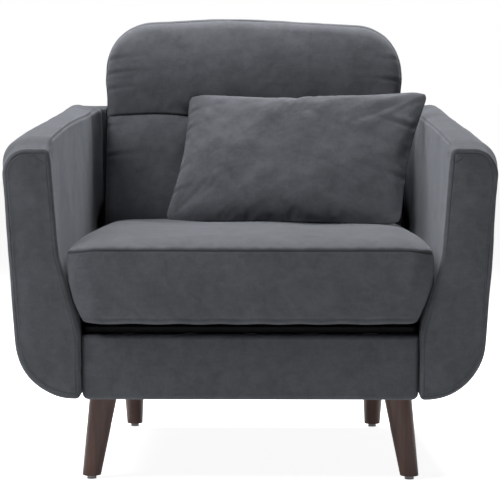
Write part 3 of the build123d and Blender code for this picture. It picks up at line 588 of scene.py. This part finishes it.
def arm_stitches(side):
    """Topstitching just inside the front panel's seam."""
    front, _, seam = arm_sections()
    line = front - normals_of(front) * (SEAM_ROLL + 0.0042)
    line = line[ARC_POINTS[0] + LINE_POINTS[0] : seam]
    path = np.stack([line[:, 0] * side, np.full(len(line), ARM_FRONT - 0.0026), line[:, 1]], 1)
    normals = np.tile([0.0, -1.0, 0.0], (len(path), 1))
    name = "arm_stitches_right" if side > 0 else "arm_stitches_left"
    return stitches(name, path, normals, STITCH_PITCH, STITCH_LENGTH, THREAD_RADIUS)


for side, word in ((1, "right"), (-1, "left")):
    cover = arm_cover(side)
    finish_piece(cover, "frame", "cover_fabric", (f"{word}_arm_cover", f"{word}_arm_foam"))
    panel = arm_front_panel(side)
    finish_piece(panel, "frame", "cover_fabric", (f"{word}_arm_front_panel",))
    finish_piece(arm_stitches(side), "frame", "cover_fabric", material=THREAD)

# ---------------------------------------------------------------- back unit

back_low, back_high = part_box("back_cover")
outside_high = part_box("outside_back")[1]
BACK_HALF = back_high.x
BACK_TOP = back_high.z
BACK_BASE = back_low.z
BACK_FRONT = back_low.y
BACK_CROWN = BACK_TOP + 0.011
BACK_SHOULDER = BACK_TOP - 0.010
BACK_CORNER = 0.098
BACK_APEX_X = -0.055
BACK_BULGE = 0.003
BACK_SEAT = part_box("back_foam")[0].z + 0.133
BACK_BEND = 0.440
BACK_TOP_FRONT = BACK_FRONT + 0.107
BACK_REAR_BASE = 0.325
BACK_REAR_TOP = outside_high.y + 0.005
BACK_ROLL = 0.040
BACK_ROLL_START = 0.745
SEAM_SET_BACK = 0.026
CROSS_SEAM = 0.683
TUFT_X = 0.135
PANEL_INSET = 0.0036


def back_front_y(z):
    """Depth of the back's fullest front surface: upright beside the cushion, then leaning."""
    lean = (BACK_TOP_FRONT - BACK_FRONT) / (BACK_TOP - BACK_BEND)
    blend_length = 0.05
    above = np.maximum(z - BACK_BEND, 0)
    soft = np.where(above < blend_length, above**2 / (2 * blend_length), above - blend_length / 2)
    rolled = np.clip((z - BACK_ROLL_START) / (BACK_TOP - BACK_ROLL_START), 0, 1.1)
    return BACK_FRONT + lean * soft + BACK_ROLL * rolled**2


def back_rear_y(z):
    """Depth of the outside back."""
    return BACK_REAR_BASE + (BACK_REAR_TOP - BACK_REAR_BASE) * (z - BACK_BASE) / (BACK_TOP - BACK_BASE)


def flank(x, y, z):
    """Sideways bulge of the back, where the arms' wraps leave it room."""
    size = BACK_BULGE * ease(z, 0.702, 0.765) * ease(0.83 - z, 0.0, 0.08)
    return x + np.sign(x) * size * np.abs(x / BACK_HALF) ** 6


def back_outline(inset, base):
    """Front outline of the back, drawn in by inset, down to a level."""
    half, shoulder, top = BACK_HALF - inset, BACK_SHOULDER - inset, BACK_CROWN - inset
    corners = [(-half, base), (half, base), (half, shoulder - 0.001)]
    corners += [(BACK_APEX_X, top), (-half, shoulder + 0.006)]
    radius = BACK_CORNER - inset
    radii = [0.002, 0.002, radius, 1.2, radius]
    return rounded_outline(corners, radii, [3, 3, 40, 30, 40], [4, 150, 40, 40, 150])


def cross_seam_z(x):
    """The seam across the back: lower at the ends and the tufts, higher in between."""
    dip = 0.0060 * (bump(x - TUFT_X, 0.05) + bump(x + TUFT_X, 0.05))
    return CROSS_SEAM + 0.0045 - 0.009 * np.abs(x / BACK_HALF) ** 3 - dip


def gap_line(z, level, inward, length):
    """Distance from a short gather that starts at a side seam and slopes up as it runs in."""
    return z - level - 0.28 * inward * np.exp(-inward / (3 * length))


# Gathers along the side seams: ((side, height), how far they run in, depth)
PUCKERS = [
    ((-1, 0.800), 0.030, 0.0030),
    ((-1, 0.768), 0.035, 0.0038),
    ((-1, 0.735), 0.030, 0.0026),
    ((-1, 0.655), 0.026, 0.0026),
    ((-1, 0.590), 0.030, 0.0030),
    ((1, 0.752), 0.034, 0.0040),
    ((1, 0.800), 0.024, 0.0020),
    ((1, 0.655), 0.026, 0.0026),
    ((1, 0.590), 0.030, 0.0030),
]


def seam_shade(z):
    """Painted shade along the back's side seam: faint along the top, clearer down the sides."""
    return 0.02 + 0.48 * ease(BACK_TOP - z, 0.04, 0.12)


def back_front_panel():
    """Front of the back: two full sections, a sewn cross seam and two blind tufts."""
    border = back_outline(PANEL_INSET, BACK_SEAT)
    low = border[:, 1].min()
    rows, columns = 260, 190
    levels = low + (border[:, 1].max() - low) * np.linspace(0.0, 1.0, rows) ** 0.92
    levels = np.append(levels[:-1], border[:, 1].max() - np.array([0.0010, 0.0004, 0.0001, 0.00002]))
    across = (1 - np.cos(np.linspace(0, 1, columns) * math.pi)) / 2
    across = 0.35 * across + 0.65 * np.linspace(0, 1, columns)
    grid = crossing_rows(border, np.clip(levels, low + 0.0004, None), across)
    x, z = grid[..., 0], grid[..., 1]
    # Pull rows towards the cross seam, so that its fold is fine enough
    seam = cross_seam_z(x)
    gap = z - seam
    z = z - 0.75 * gap * bump(gap, 0.020)
    gap = z - seam
    edge = distance_to(border, x, z)
    side_edge = np.where(z < BACK_SEAT + 0.1, BACK_HALF - PANEL_INSET - np.abs(x), edge)
    edge = np.minimum(side_edge, np.where(z < 0.6, BACK_HALF - PANEL_INSET - np.abs(x), edge))
    edge = np.clip(edge, 0, None)
    spot = np.stack([x, np.full_like(x, 0.5), z], -1)
    full = 0.55 * rise(edge, 0.020) + 0.45 * rise(edge, 0.095)
    depth = SEAM_SET_BACK * (1 - full)
    # The lower section rolls up over the seam, the upper one comes down to it more gently
    below = np.clip(-gap, 0, None)
    above = np.clip(gap, 0, None)
    fold = np.where(gap < 0, np.exp(-below / 0.016), np.exp(-above / 0.050))
    reach = 0.45 + 0.55 * ease(edge, 0.0, 0.07)
    depth += 0.021 * fold * reach + 0.003 * bump(gap, 0.0022)
    depth -= 0.007 * bump(gap + 0.055, 0.045) * ease(edge, 0.0, 0.08)
    for tuft in (-TUFT_X, TUFT_X):
        around = np.hypot(x - tuft, (gap + 0.002) * 1.1)
        angle = np.arctan2(gap, x - tuft)
        depth += 0.016 * np.exp(-around / 0.030)
        depth += 0.0022 * np.cos(5 * angle + 0.7) * np.exp(-around / 0.045) * ease(around, 0.0, 0.02)
        depth += 0.003 * bump(x - tuft - 0.1 * gap, 0.020) * np.exp(-below / 0.09) * (gap < 0)
    # Gathers that run in from the side seams
    for place, length, size in PUCKERS:
        mirror = np.sign(x) == np.sign(place[0])
        inward = BACK_HALF - np.abs(x)
        slope = gap_line(z, place[1], inward, length)
        depth += size * mirror * bump(slope, 0.0045) * np.exp(-inward / length)
        depth -= 0.7 * size * mirror * bump(slope - 0.010, 0.006) * np.exp(-inward / length)
    depth -= 0.0016 * waves(spot, 0.17, 12) + 0.0004 * waves(spot, 0.05, 13)
    y = back_front_y(z) + depth
    points = np.stack([flank(x, y, z), y, z], -1)
    # Painted shade in the cross seam's fold and along the side seams.
    crease_shade = np.clip(bump(gap, 0.0022) * reach + seam_shade(z) * bump(edge, 0.0014), 0, 1)
    uv = np.stack([x, z * 1.03], -1)
    return grid_object("back_front_panel", points, uv, (0, 0.4, 0.6), crease_shade=crease_shade.ravel())


def back_boxing():
    """Band round the sides and top of the back, between the front seam and the rear seam."""
    outer = back_outline(0.0, BACK_BASE)
    first = int(np.argmin(outer[:, 1] + (outer[:, 0] < 0)))
    path = np.roll(outer, -first, 0)
    keep = path[:, 1] > BACK_BASE + 0.0005
    path = path[keep]
    out = normals_of(np.concatenate([path, [[0.0, BACK_BASE]]]))[:-1]
    run = lengths_of(path)
    across = np.concatenate([[-0.035, -0.012], np.linspace(0, 1, 34), [1.012, 1.03]])
    rows, uvs, creases = [], [], []
    for share in across:
        z = path[:, 1]
        y_front = back_front_y(z) + SEAM_SET_BACK + 0.001
        y_front = np.where(z < BACK_SEAT - 0.003, BACK_REAR_BASE - 0.026, y_front)
        y_rear = back_rear_y(z) - 0.007
        y = y_front + (y_rear - y_front) * np.clip(share, 0, 1)
        middle = math.sin(math.pi * min(max(share, 0), 1)) ** 0.6
        inset = 0.0032 - 0.0022 * middle - 0.004 * middle * ease(path[:, 1], 0.715, 0.765)
        if share < 0 or share > 1:
            outside = -share if share < 0 else share - 1
            inset = np.full(len(path), 0.0032 + outside * 0.16)
        spot = np.stack([path[:, 0], np.full(len(path), share), path[:, 1]], 1)
        wave = 0.0004 * waves(spot, 0.09, 21)
        flat = path - out * (inset + wave)[:, None]
        rows.append(np.stack([flank(flat[:, 0], y, flat[:, 1]), y, flat[:, 1]], 1))
        uvs.append(np.stack([run, y], 1))
        # Painted shade on the rows turned into the front and rear seams.
        creases.append(seam_shade(z) if not 0 < share < 1 else np.zeros(len(path)))
    points, uv = np.array(rows), np.array(uvs)
    return grid_object("back_boxing", points, uv, (0, 0.3, 0.6), crease_shade=np.array(creases).ravel())


def back_rear_panel():
    """Outside back: a taut panel, rounded in at its seam and turned under at its base."""
    border = back_outline(0.0035, BACK_BASE)
    grid = panel_grid(border, 130, 90)
    x, z = grid[..., 0], grid[..., 1]
    edge = np.minimum(distance_to(border, x, z), BACK_HALF - 0.0035 - np.abs(x))
    edge = np.where(z < BACK_BASE + 0.15, np.minimum(edge + 1, BACK_HALF - 0.0035 - np.abs(x)), edge)
    edge = np.clip(edge, 0, None)
    spot = np.stack([x, np.full_like(x, 0.9), z], -1)
    y = back_rear_y(z) - 0.0075 * (1 - rise(edge, 0.014)) - 0.0015
    y -= 0.0015 * ease(edge, 0.02, 0.25) - 0.0008 * waves(spot, 0.2, 31)
    points = np.stack([x, y, z], -1)
    # Turned under at the base
    under = points[:1].repeat(3, 0)
    under[:, :, 2] = BACK_BASE + 0.0005
    under[0, :, 1] -= 0.024
    under[1, :, 1] -= 0.012
    under[2, :, 1] -= 0.002
    points = np.concatenate([under, points])
    uv = np.stack([points[..., 0], points[..., 2] + points[..., 1] * 0.3], -1)
    # Painted shade along the panel's edge seam.
    crease_shade = bump(np.concatenate([edge[:1].repeat(3, 0), edge]), 0.0015).ravel()
    return grid_object("back_rear_panel", points, uv, (0, 0.2, 0.5), crease_shade=crease_shade)


back_panel = back_front_panel()
finish_piece(back_panel, "frame", "cover_fabric", ("back_cover", "back_foam"))
boxing = finish_piece(back_boxing(), "frame", "cover_fabric")
rear_panel = finish_piece(back_rear_panel(), "frame", "cover_fabric", ("outside_back",))

# ---------------------------------------------------------------- seat cushion

cushion_low, cushion_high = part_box("seat_cushion_cover")
CUSHION_FRONT, CUSHION_REAR = cushion_low.y, cushion_high.y
CUSHION_BASE = cushion_low.z
CUSHION_HALF = cushion_high.x
CUSHION_TOP = cushion_high.z
CUSHION_SEAM = CUSHION_BASE + 0.141
CUSHION_LOW_SEAM = CUSHION_BASE + 0.009
CUSHION_BASE_HALF = CUSHION_HALF - 0.031
CUSHION_CORNER = 0.042
CUSHION_INNER_CORNER = 0.012
LEAST_RADIUS = 0.0006
CORNER_DROP = 0.006
STITCH_WAVE = 0.083


def cushion_ring(half, front, rear, radius):
    """Rounded rectangle in plan."""
    corners = [(-half, front), (half, front), (half, rear), (-half, rear)]
    return rounded_outline(corners, [radius] * 4, [18] * 4, [110, 92, 110, 92])


def cushion_levels():
    """(kind, place, height, half width) of each ring, from the middle underneath to the middle of the top.

    A ring's place is its inset from the seam or, on the boxing, its share of the way up.
    """
    depth_half = (CUSHION_REAR - CUSHION_FRONT) / 2
    levels = []
    for inset in np.append(np.linspace(0.99, 0.05, 20) * depth_half, [0.010, 0.006, 0.003, 0.001]):
        levels.append(("base", inset, CUSHION_LOW_SEAM, CUSHION_BASE_HALF))
    for share in (1 - np.cos(np.linspace(0, 1, 46) * math.pi)) / 2:
        height = CUSHION_LOW_SEAM + (CUSHION_SEAM - CUSHION_LOW_SEAM) * share
        spread = math.sin(share * math.pi / 2) ** 0.9
        half = CUSHION_BASE_HALF + (CUSHION_HALF - 0.001 - CUSHION_BASE_HALF) * spread
        levels.append(("boxing", share, height, half))
    roll = [0.001, 0.0025, 0.0045, 0.007, 0.010, 0.014, 0.020]
    for inset in np.append(roll, np.linspace(0.028, depth_half, 46)):
        levels.append(("top", inset, CUSHION_SEAM, CUSHION_HALF - 0.001))
    return levels


def seat_cushion():
    """Boxed seat cushion: crowned top, full boxing, rolled seams and gathered corners."""
    rows, uvs, creases = [], [], []
    depth = CUSHION_REAR - CUSHION_FRONT
    for kind, place, height, half in cushion_levels():
        inset = 0.0 if kind == "boxing" else min(place, depth / 2)
        room = min(half, depth / 2) - inset
        radius = max(CUSHION_CORNER - inset, min(CUSHION_INNER_CORNER, room / 2), LEAST_RADIUS)
        ring = cushion_ring(half - inset, CUSHION_FRONT + inset + 0.004, CUSHION_REAR - inset, radius)
        out = normals_of(ring)
        x, y = ring[:, 0].copy(), ring[:, 1].copy()
        forward = np.clip(-out[:, 1], 0, 1)
        sideways = np.abs(x) / half
        wave = np.sin(x * 2 * math.pi / STITCH_WAVE + 1.5 * np.sin(x * 9))
        z = np.full(len(ring), height)
        spot = np.stack([x, y, z], 1)
        push = np.zeros(len(ring))
        crease_shade = 0.0
        corner = bump(np.hypot(np.abs(x) - half + 0.02, y - CUSHION_FRONT - 0.02), 0.05)
        if kind == "boxing":
            middle = math.sin(math.pi * place) ** 0.7
            rearward = np.clip(out[:, 1], 0, 1)
            push += (0.0045 + 0.002 * forward - 0.0045 * rearward) * middle
            push += 0.0007 * waves(spot, 0.12, 41) * middle * (1 - rearward)
            push += 0.0007 * wave * forward * bump(place, 0.22)
            z += 0.0009 * wave * forward * bump(place, 0.20)
            push -= 0.0022 * (bump(place, 0.012) + bump(place - 1.0, 0.012))
            push -= 0.0016 * bump(place - 0.07, 0.016) * forward
            push += 0.0005 * corner * np.sin(place * 26 + x * 60) * bump(place - 0.5, 0.45)
            # Painted shade in the seams at the boxing's top and bottom, and in the fold near its front
            # base.
            crease_shade = max(bump(place, 0.010), bump(place - 1.0, 0.010))
            crease_shade = np.maximum(crease_shade, 0.25 * bump(place - 0.07, 0.014) * forward)
        elif kind == "base":
            sag = ease(inset, 0.0, 0.12)
            z -= (CUSHION_LOW_SEAM - CUSHION_BASE - 0.0005) * sag
            z += 0.0009 * wave * forward * bump(inset, 0.02)
            push -= 0.0015 * bump(inset, 0.002)
        else:
            crown = rise(half - np.abs(x), 0.085) * rise(CUSHION_REAR - y, 0.05)
            crown = crown * rise(y - CUSHION_FRONT - 0.004, 0.165) ** 1.6
            z += 0.0026 * rise(inset, 0.008) - 0.0020 * bump(inset, 0.0022)
            z += (CUSHION_TOP - CUSHION_SEAM - 0.0021) * crown
            z += 0.0014 * waves(spot, 0.19, 43) * ease(inset, 0.01, 0.08)
            gathers = np.sin(x * 2 * math.pi / 0.036 + 2.2 * np.sin(x * 23))
            z += 0.0004 * gathers * forward * bump(inset - 0.010, 0.010)
            # Painted shade in the top seam.
            crease_shade = bump(inset, 0.0016)
        near_seam = place if kind == "boxing" else max(1 - inset / 0.09, 0.0)
        if kind != "base":
            z -= CORNER_DROP * ease(sideways, 0.84, 1.0) * near_seam
        x = x + out[:, 0] * push
        y = y + out[:, 1] * push
        y -= 0.0045 * forward * (1 - (x / half) ** 2)
        rows.append(np.stack([x, y, z], 1))
        run = lengths_of(np.concatenate([ring, ring[:1]]))
        if kind == "boxing":
            uvs.append(np.stack([run, np.full(len(run), height)], 1))
        else:
            wrapped = np.concatenate([rows[-1], rows[-1][:1]])
            uvs.append(wrapped[:, :2])
        creases.append(np.ones(len(ring)) * crease_shade)
    points = np.array(rows)
    middle = (0, (CUSHION_FRONT + CUSHION_REAR) / 2, CUSHION_BASE + 0.08)
    crease_shade = np.array(creases).ravel()
    return grid_object(
        "seat_cushion_cover_soft", points, np.array(uvs), middle, closed=True, crease_shade=crease_shade, weld=0.00005
    )


cushion = seat_cushion()
finish_piece(
    cushion,
    "seat_cushion",
    "cover_fabric",
    ("seat_cushion_cover", "seat_cushion_wrap", "seat_cushion_foam"),
)

# ---------------------------------------------------------------- lumbar pillow

PILLOW_YAW = math.radians(20.0)
PILLOW_LEAN = math.radians(32.0)
PILLOW_CUT = (0.533, 0.325)
PILLOW_TAPER = 0.026
PILLOW_BOW = 0.036
PILLOW_CORNER = 0.006
PILLOW_CELLS = (96, 60)
PILLOW_FRAMES = 32
PILLOW_PRESSURE = 1.9
PILLOW_FULLNESS = 1.28
PILLOW_WAIST = 0.013
PILLOW_DIP = 0.014
PILLOW_TIP = 0.006


def pillow_matrix():
    """Place of the pillow: turned to the left, leaning on the back."""
    low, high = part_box("pillow_cover")
    centre = (low + high) / 2
    across = Vector((math.cos(PILLOW_YAW), -math.sin(PILLOW_YAW), 0))
    front = Vector(
        (
            -math.sin(PILLOW_YAW) * math.cos(PILLOW_LEAN),
            -math.cos(PILLOW_YAW) * math.cos(PILLOW_LEAN),
            math.sin(PILLOW_LEAN),
        )
    )
    up = front.cross(across)
    turn = Matrix((across, up, front)).transposed().to_4x4()
    return Matrix.Translation(centre) @ turn


def pillow_panels():
    """Two panels, wider at the top and bowed at top and bottom, sewn together round their edge."""
    columns, rows = PILLOW_CELLS
    width, height = PILLOW_CUT
    u, v = np.meshgrid(np.linspace(-1, 1, columns + 1), np.linspace(-1, 1, rows + 1))
    blunt = PILLOW_CORNER * (u * v) ** 8
    x = u * (width / 2 * (1 + PILLOW_TAPER * v) - blunt)
    y = v * (height / 2 * (1 + PILLOW_BOW * (1 - u**2)) - blunt)
    gap = 0.016 * (1 - u**4) * (1 - v**4)
    front = np.stack([x, y, gap], -1).reshape(-1, 3)
    rear = np.stack([x, y, -gap], -1).reshape(-1, 3)
    uv = np.stack([x, y], -1).reshape(-1, 2)
    index = np.arange(len(front)).reshape(rows + 1, columns + 1)
    quads = np.stack([index[:-1, :-1], index[:-1, 1:], index[1:, 1:], index[1:, :-1]], -1).reshape(-1, 4)
    faces = np.concatenate([quads, quads[:, ::-1] + len(front)])
    corner_uv = np.concatenate([uv, uv + 1.0])[faces].reshape(-1, 2)
    edge = np.minimum(1 - np.abs(u), 1 - np.abs(v)).ravel()
    edge = np.concatenate([edge, edge])
    points = np.concatenate([front, rear])
    rng = np.random.default_rng(SEED)
    points[:, 2] += rng.normal(0, 0.00015, len(points)) * (edge > 0.001)
    # Painted shade along the pillow's edge seam.
    return mesh_object("pillow_cover_soft", points, faces, corner_uv, 0.6 * bump(edge, 0.008), weld=0.00002)


def inflate(piece):
    """Blow a closed cloth up with Blender's Cloth, then keep the resulting mesh."""
    scene = bpy.context.scene
    cloth = piece.modifiers.new("Cloth", "CLOTH")
    settings = cloth.settings
    settings.quality = 5
    settings.mass = 0.05
    settings.air_damping = 4.0
    settings.tension_stiffness = 40
    settings.compression_stiffness = 30
    settings.shear_stiffness = 12
    settings.bending_stiffness = 0.8
    settings.use_pressure = True
    settings.uniform_pressure_force = PILLOW_PRESSURE
    settings.effector_weights.gravity = 0
    cloth.collision_settings.use_collision = False
    cloth.collision_settings.use_self_collision = False
    scene.frame_start, scene.frame_end = 1, PILLOW_FRAMES
    cloth.point_cache.frame_start, cloth.point_cache.frame_end = 1, PILLOW_FRAMES
    for number in range(1, PILLOW_FRAMES + 1):
        scene.frame_set(number)
    graph = bpy.context.evaluated_depsgraph_get()
    swollen = bpy.data.meshes.new_from_object(piece.evaluated_get(graph))
    piece.modifiers.clear()
    piece.data = swollen
    scene.frame_set(1)


# Creases that run in from the pillow's ends: (end, height, length, depth)
PILLOW_CREASES = [
    (1, 0.062, 0.030, 0.0090),
    (1, -0.058, 0.034, 0.0070),
    (1, 0.010, 0.016, 0.0030),
    (-1, 0.105, 0.016, 0.0040),
    (-1, 0.060, 0.018, 0.0045),
    (-1, 0.012, 0.014, 0.0030),
    (-1, -0.040, 0.018, 0.0045),
    (-1, -0.095, 0.020, 0.0050),
]


def dress_pillow(piece):
    """Fill the pillow out, draw its sides and top in, and press short creases into its front."""
    mesh = piece.data
    spots = np.zeros(3 * len(mesh.vertices))
    mesh.vertices.foreach_get("co", spots)
    spots = spots.reshape(-1, 3)
    x, y, z = spots.T
    u = x / np.abs(x).max()
    v = y / np.abs(y).max()
    swell = np.abs(z) / np.abs(z).max()
    z = z * PILLOW_FULLNESS * swell**0.2
    x = x - np.sign(x) * PILLOW_WAIST * np.abs(u) ** 3 * (1 - v**2)
    y = y - PILLOW_DIP * np.clip(v, 0, 1) ** 3 * (1 - u**2)
    tip = PILLOW_TIP * ease(np.abs(u * v), 0.84, 1.0)
    x = x - np.sign(x) * tip
    y = y - np.sign(y) * tip
    half = np.abs(x).max() - 0.012
    front = z > 0
    for end, height, length, depth in PILLOW_CREASES:
        inward = np.clip(half - end * x, 0, None)
        line = y - height - 0.20 * inward
        fade = np.exp(-inward / length) * ease(inward, 0.0, 0.006) * front
        z -= depth * bump(line, 0.0045) * fade
        z += 0.4 * depth * bump(line - 0.012, 0.008) * fade
    z += 0.0012 * waves(spots, 0.09, 71) * np.sign(z) * ease(np.abs(z), 0.0, 0.03)
    mesh.vertices.foreach_set("co", np.stack([x, y, z], 1).ravel())


pillow = pillow_panels()
inflate(pillow)
dress_pillow(pillow)
pillow.data.transform(pillow_matrix())
pillow.data.shade_smooth()
pillow.modifiers.new("Smooth", "SUBSURF").render_levels = 1
finish_piece(pillow, "pillow", "cover_fabric", ("pillow_cover", "pillow_insert"))

# ---------------------------------------------------------------- front rail

rail_low, rail_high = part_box("front_rail_cover")
RAIL_ROLL = 0.009


def rail_ring(inset):
    """Outline of the rail's front, drawn in by inset."""
    half = rail_high.x - inset
    low, high = rail_low.z + inset, rail_high.z - inset
    corners = [(-half, low), (half, low), (half, high), (-half, high)]
    radii = [max(radius - inset, 0.0003) for radius in (0.012, 0.012, 0.005, 0.005)]
    return rounded_outline(corners, radii, [10, 10, 10, 10], [120, 26, 120, 26])


def front_rail():
    """Upholstered front rail, soft along its edges."""
    depth = rail_high.y - rail_low.y
    middle = (rail_high.z - rail_low.z) / 2
    steps = [(0.0, depth), (0.0, depth * 0.7)]
    for angle in np.radians(np.linspace(0, 90, 12)):
        steps.append((RAIL_ROLL * (1 - math.cos(angle)), RAIL_ROLL * (1 - math.sin(angle))))
    steps += [(inset, 0.0) for inset in np.linspace(RAIL_ROLL, middle - 0.001, 24)[1:]]
    steps.append((middle, 0.0))
    run = lengths_of(np.concatenate([rail_ring(0.0), rail_ring(0.0)[:1]]))
    rows, uvs = [], []
    for inset, back in steps:
        ring = rail_ring(min(inset, middle - 0.001))
        if inset == middle:
            ring[:, 1] = (rail_low.z + rail_high.z) / 2
        spot = np.stack([ring[:, 0], np.full(len(ring), 0.1), ring[:, 1]], 1)
        soft = ease(inset, 0.004, 0.03)
        y = rail_low.y + back - soft * (0.0012 + 0.0005 * waves(spot, 0.13, 51))
        rows.append(np.stack([ring[:, 0], y, ring[:, 1]], 1))
        if back > RAIL_ROLL:
            uvs.append(np.stack([run, np.full(len(run), back)], 1))
        else:
            uvs.append(np.concatenate([ring, ring[:1]]))
    inside = (0, rail_high.y, (rail_low.z + rail_high.z) / 2)
    points, uv = np.array(rows), np.array(uvs)
    return grid_object("front_rail_cover_soft", points, uv, inside, closed=True, weld=0.0001)


rail = front_rail()
finish_piece(rail, "frame", "cover_fabric", ("front_rail_cover", "front_rail_padding"))

# ---------------------------------------------------------------- deck, dust cover and zip


def cloth_sheet(name, low, high, level, drop, sag, seed):
    """Thin stretched sheet with a slight sag and ripples, its edges folded down by drop."""
    columns, rows = 110, 120
    u = np.linspace(-1, 1, columns)
    v = np.linspace(-1, 1, rows)
    grid_u, grid_v = np.meshgrid(u, v)
    full = (1 - grid_u**2) * (1 - grid_v**2)
    x = (low.x + high.x) / 2 + grid_u * (high.x - low.x) / 2
    y = (low.y + high.y) / 2 + grid_v * (high.y - low.y) / 2
    spot = np.stack([x, y, np.zeros_like(x)], -1)
    ripple = np.clip(waves(spot, 0.08, seed), -0.6, 2.0)
    z = level - sag * full**0.5 + 0.0003 * ripple * np.minimum(8 * full, 1)
    points = np.stack([x, y, z], -1)
    if drop:
        hem = np.stack([x, y, np.full_like(x, level - drop)], -1)
        turn = np.stack([x, y, np.full_like(x, level - drop * 0.12)], -1)
        turn += np.stack([grid_u, grid_v, np.zeros_like(x)], -1) * 0.0006
        hem += np.stack([grid_u, grid_v, np.zeros_like(x)], -1) * 0.0008
        points = np.concatenate([hem[:1], turn[:1], points, turn[-1:], hem[-1:]])
        left = np.concatenate([hem[:1, :1], hem[:1, :1], hem[:, :1], hem[-1:, :1], hem[-1:, :1]])
        right = np.concatenate([hem[:1, -1:], hem[:1, -1:], hem[:, -1:], hem[-1:, -1:], hem[-1:, -1:]])
        points = np.concatenate([left, points, right], 1)
    uv = points[..., :2] + points[..., 2:] * 0.5
    piece = grid_object(name, points, uv, (0, 0, low.z - 1), weld=0.00002)
    solid = piece.modifiers.new("Thickness", "SOLIDIFY")
    solid.thickness = 0.0008
    solid.offset = 0
    return piece


# The deck cloth stands for the real deck cover, in near-black lining with its edges turned down over the
# pad; at the front it also puts a dark sheet in the gap under the cushion, in place of the shade there.
deck_low, deck_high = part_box("deck_cover")
DECK_DROP = 0.011
LEG_HOLE = 0.028
deck = cloth_sheet("deck_cloth", deck_low, deck_high, (deck_low.z + deck_high.z) / 2, DECK_DROP, 0.0001, 61)
finish_piece(deck, "frame", "lining_fabric", ("deck_cover",))


def dust_cover():
    """Taut lining under the seat, cut round where the legs pass through it."""
    low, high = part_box("dust_cover")
    piece = cloth_sheet("dust_cover_cloth", low, high, (low.z + high.z) / 2, 0.0, 0.0012, 62)
    holes = []
    for name in ("front_left_leg", "front_right_leg", "rear_left_leg", "rear_right_leg"):
        mesh = frame["nodes"][name].data
        top = max(vertex.co.z for vertex in mesh.vertices)
        ring = [vertex.co for vertex in mesh.vertices if vertex.co.z > top - 0.004]
        middle = sum(ring, Vector()) / len(ring)
        holes.append(middle.xy)
    work = bmesh.new()
    work.from_mesh(piece.data)
    inside = []
    for face in work.faces:
        middle = face.calc_center_median().xy
        if min((middle - hole).length for hole in holes) < LEG_HOLE:
            inside.append(face)
    bmesh.ops.delete(work, geom=inside, context="FACES")
    for vertex in work.verts:
        if not vertex.is_boundary:
            continue
        for hole in holes:
            away = vertex.co.xy - hole
            if away.length < LEG_HOLE + 0.008:
                vertex.co.xy = hole + away.normalized() * LEG_HOLE
    work.to_mesh(piece.data)
    work.free()
    finish_piece(piece, "frame", "lining_fabric", ("dust_cover",))


dust_cover()

# ---------------------------------------------------------------- light, floor and camera


LIGHTS = [
    ("rear_soft", (0.0, 1.3, 2.6), (0.0, 0.0, 0.5), (2.0, 1.0), 95),
    ("top_soft", (0.0, -0.3, 2.9), (0.0, 0.0, 0.4), (2.2, 1.6), 18),
    ("left_soft", (-1.8, -0.9, 2.4), (0.0, 0.0, 0.5), (1.3, 1.3), 44),
]
WORLD_SEEN = 1.0
WORLD_LIGHT = 0.0
FLOOR_SEEN = 0.93
FLOOR_LIGHT = 0.26
CAMERA_DISTANCE = 3.0
CAMERA_SIDE = 0.035
CAMERA_HEIGHT = 0.606
CAMERA_PITCH = math.radians(3.42)
CAMERA_LENS = 120.3


def area_light(name, place, target, size, power, colour):
    light = bpy.data.lights.new(name, "AREA")
    light.energy = power
    light.shape = "RECTANGLE"
    light.size, light.size_y = size
    light.color = colour
    lamp = bpy.data.objects.new(name, light)
    lamp.location = place
    lamp.rotation_euler = (Vector(target) - Vector(place)).to_track_quat("-Z", "Y").to_euler()
    bpy.context.scene.collection.objects.link(lamp)


def seen_or_bounced(tree, seen, bounced):
    """Strength that the camera sees, and the strength that lights the object."""
    path = tree.nodes.new("ShaderNodeLightPath")
    strength = tree.nodes.new("ShaderNodeMapRange")
    strength.inputs[3].default_value = bounced
    strength.inputs[4].default_value = seen
    tree.links.new(path.outputs["Is Camera Ray"], strength.inputs["Value"])
    return strength.outputs[0]


def studio():
    """White room: light from above and behind, a softer one from the upper left, and a white floor."""
    scene = bpy.context.scene
    scene.view_settings.view_transform = "Standard"
    world = bpy.data.worlds.new("studio")
    scene.world = world
    world.use_nodes = True
    background = world.node_tree.nodes["Background"]
    background.inputs["Color"].default_value = (1.0, 1.0, 1.0, 1.0)
    world_strength = seen_or_bounced(world.node_tree, WORLD_SEEN, WORLD_LIGHT)
    world.node_tree.links.new(world_strength, background.inputs["Strength"])
    for name, place, target, size, power in LIGHTS:
        area_light(name, place, target, size, power, (1.0, 1.0, 1.0))
    work = bmesh.new()
    bmesh.ops.create_grid(work, x_segments=2, y_segments=2, size=30)
    mesh = bpy.data.meshes.new("floor")
    work.to_mesh(mesh)
    work.free()
    floor = bpy.data.objects.new("floor", mesh)
    scene.collection.objects.link(floor)
    n = Nodes("floor")
    at = n.add("ShaderNodeTexCoord").outputs["Object"]
    n.surface(Base_Color=n.tint((0.90, 0.90, 0.90), n.remap(n.noise(at, 3.0), 0.3, 0.7, 0.99, 1.0)))
    n.surface(Roughness=0.9, Emission_Color=(1.0, 1.0, 1.0, 1.0))
    n.set(n.shader.inputs["Emission Strength"], seen_or_bounced(n.tree, FLOOR_SEEN, FLOOR_LIGHT))
    mesh.materials.append(n.material)


def camera():
    data = bpy.data.cameras.new("camera")
    data.lens = CAMERA_LENS
    data.sensor_width = 36.0
    view = bpy.data.objects.new("camera", data)
    view.location = (CAMERA_SIDE, ARM_FRONT - CAMERA_DISTANCE, CAMERA_HEIGHT)
    yaw = math.atan(CAMERA_SIDE / CAMERA_DISTANCE)
    view.rotation_euler = (math.pi / 2 - CAMERA_PITCH, 0, yaw)
    bpy.context.scene.collection.objects.link(view)
    bpy.context.scene.camera = view


studio()
camera()
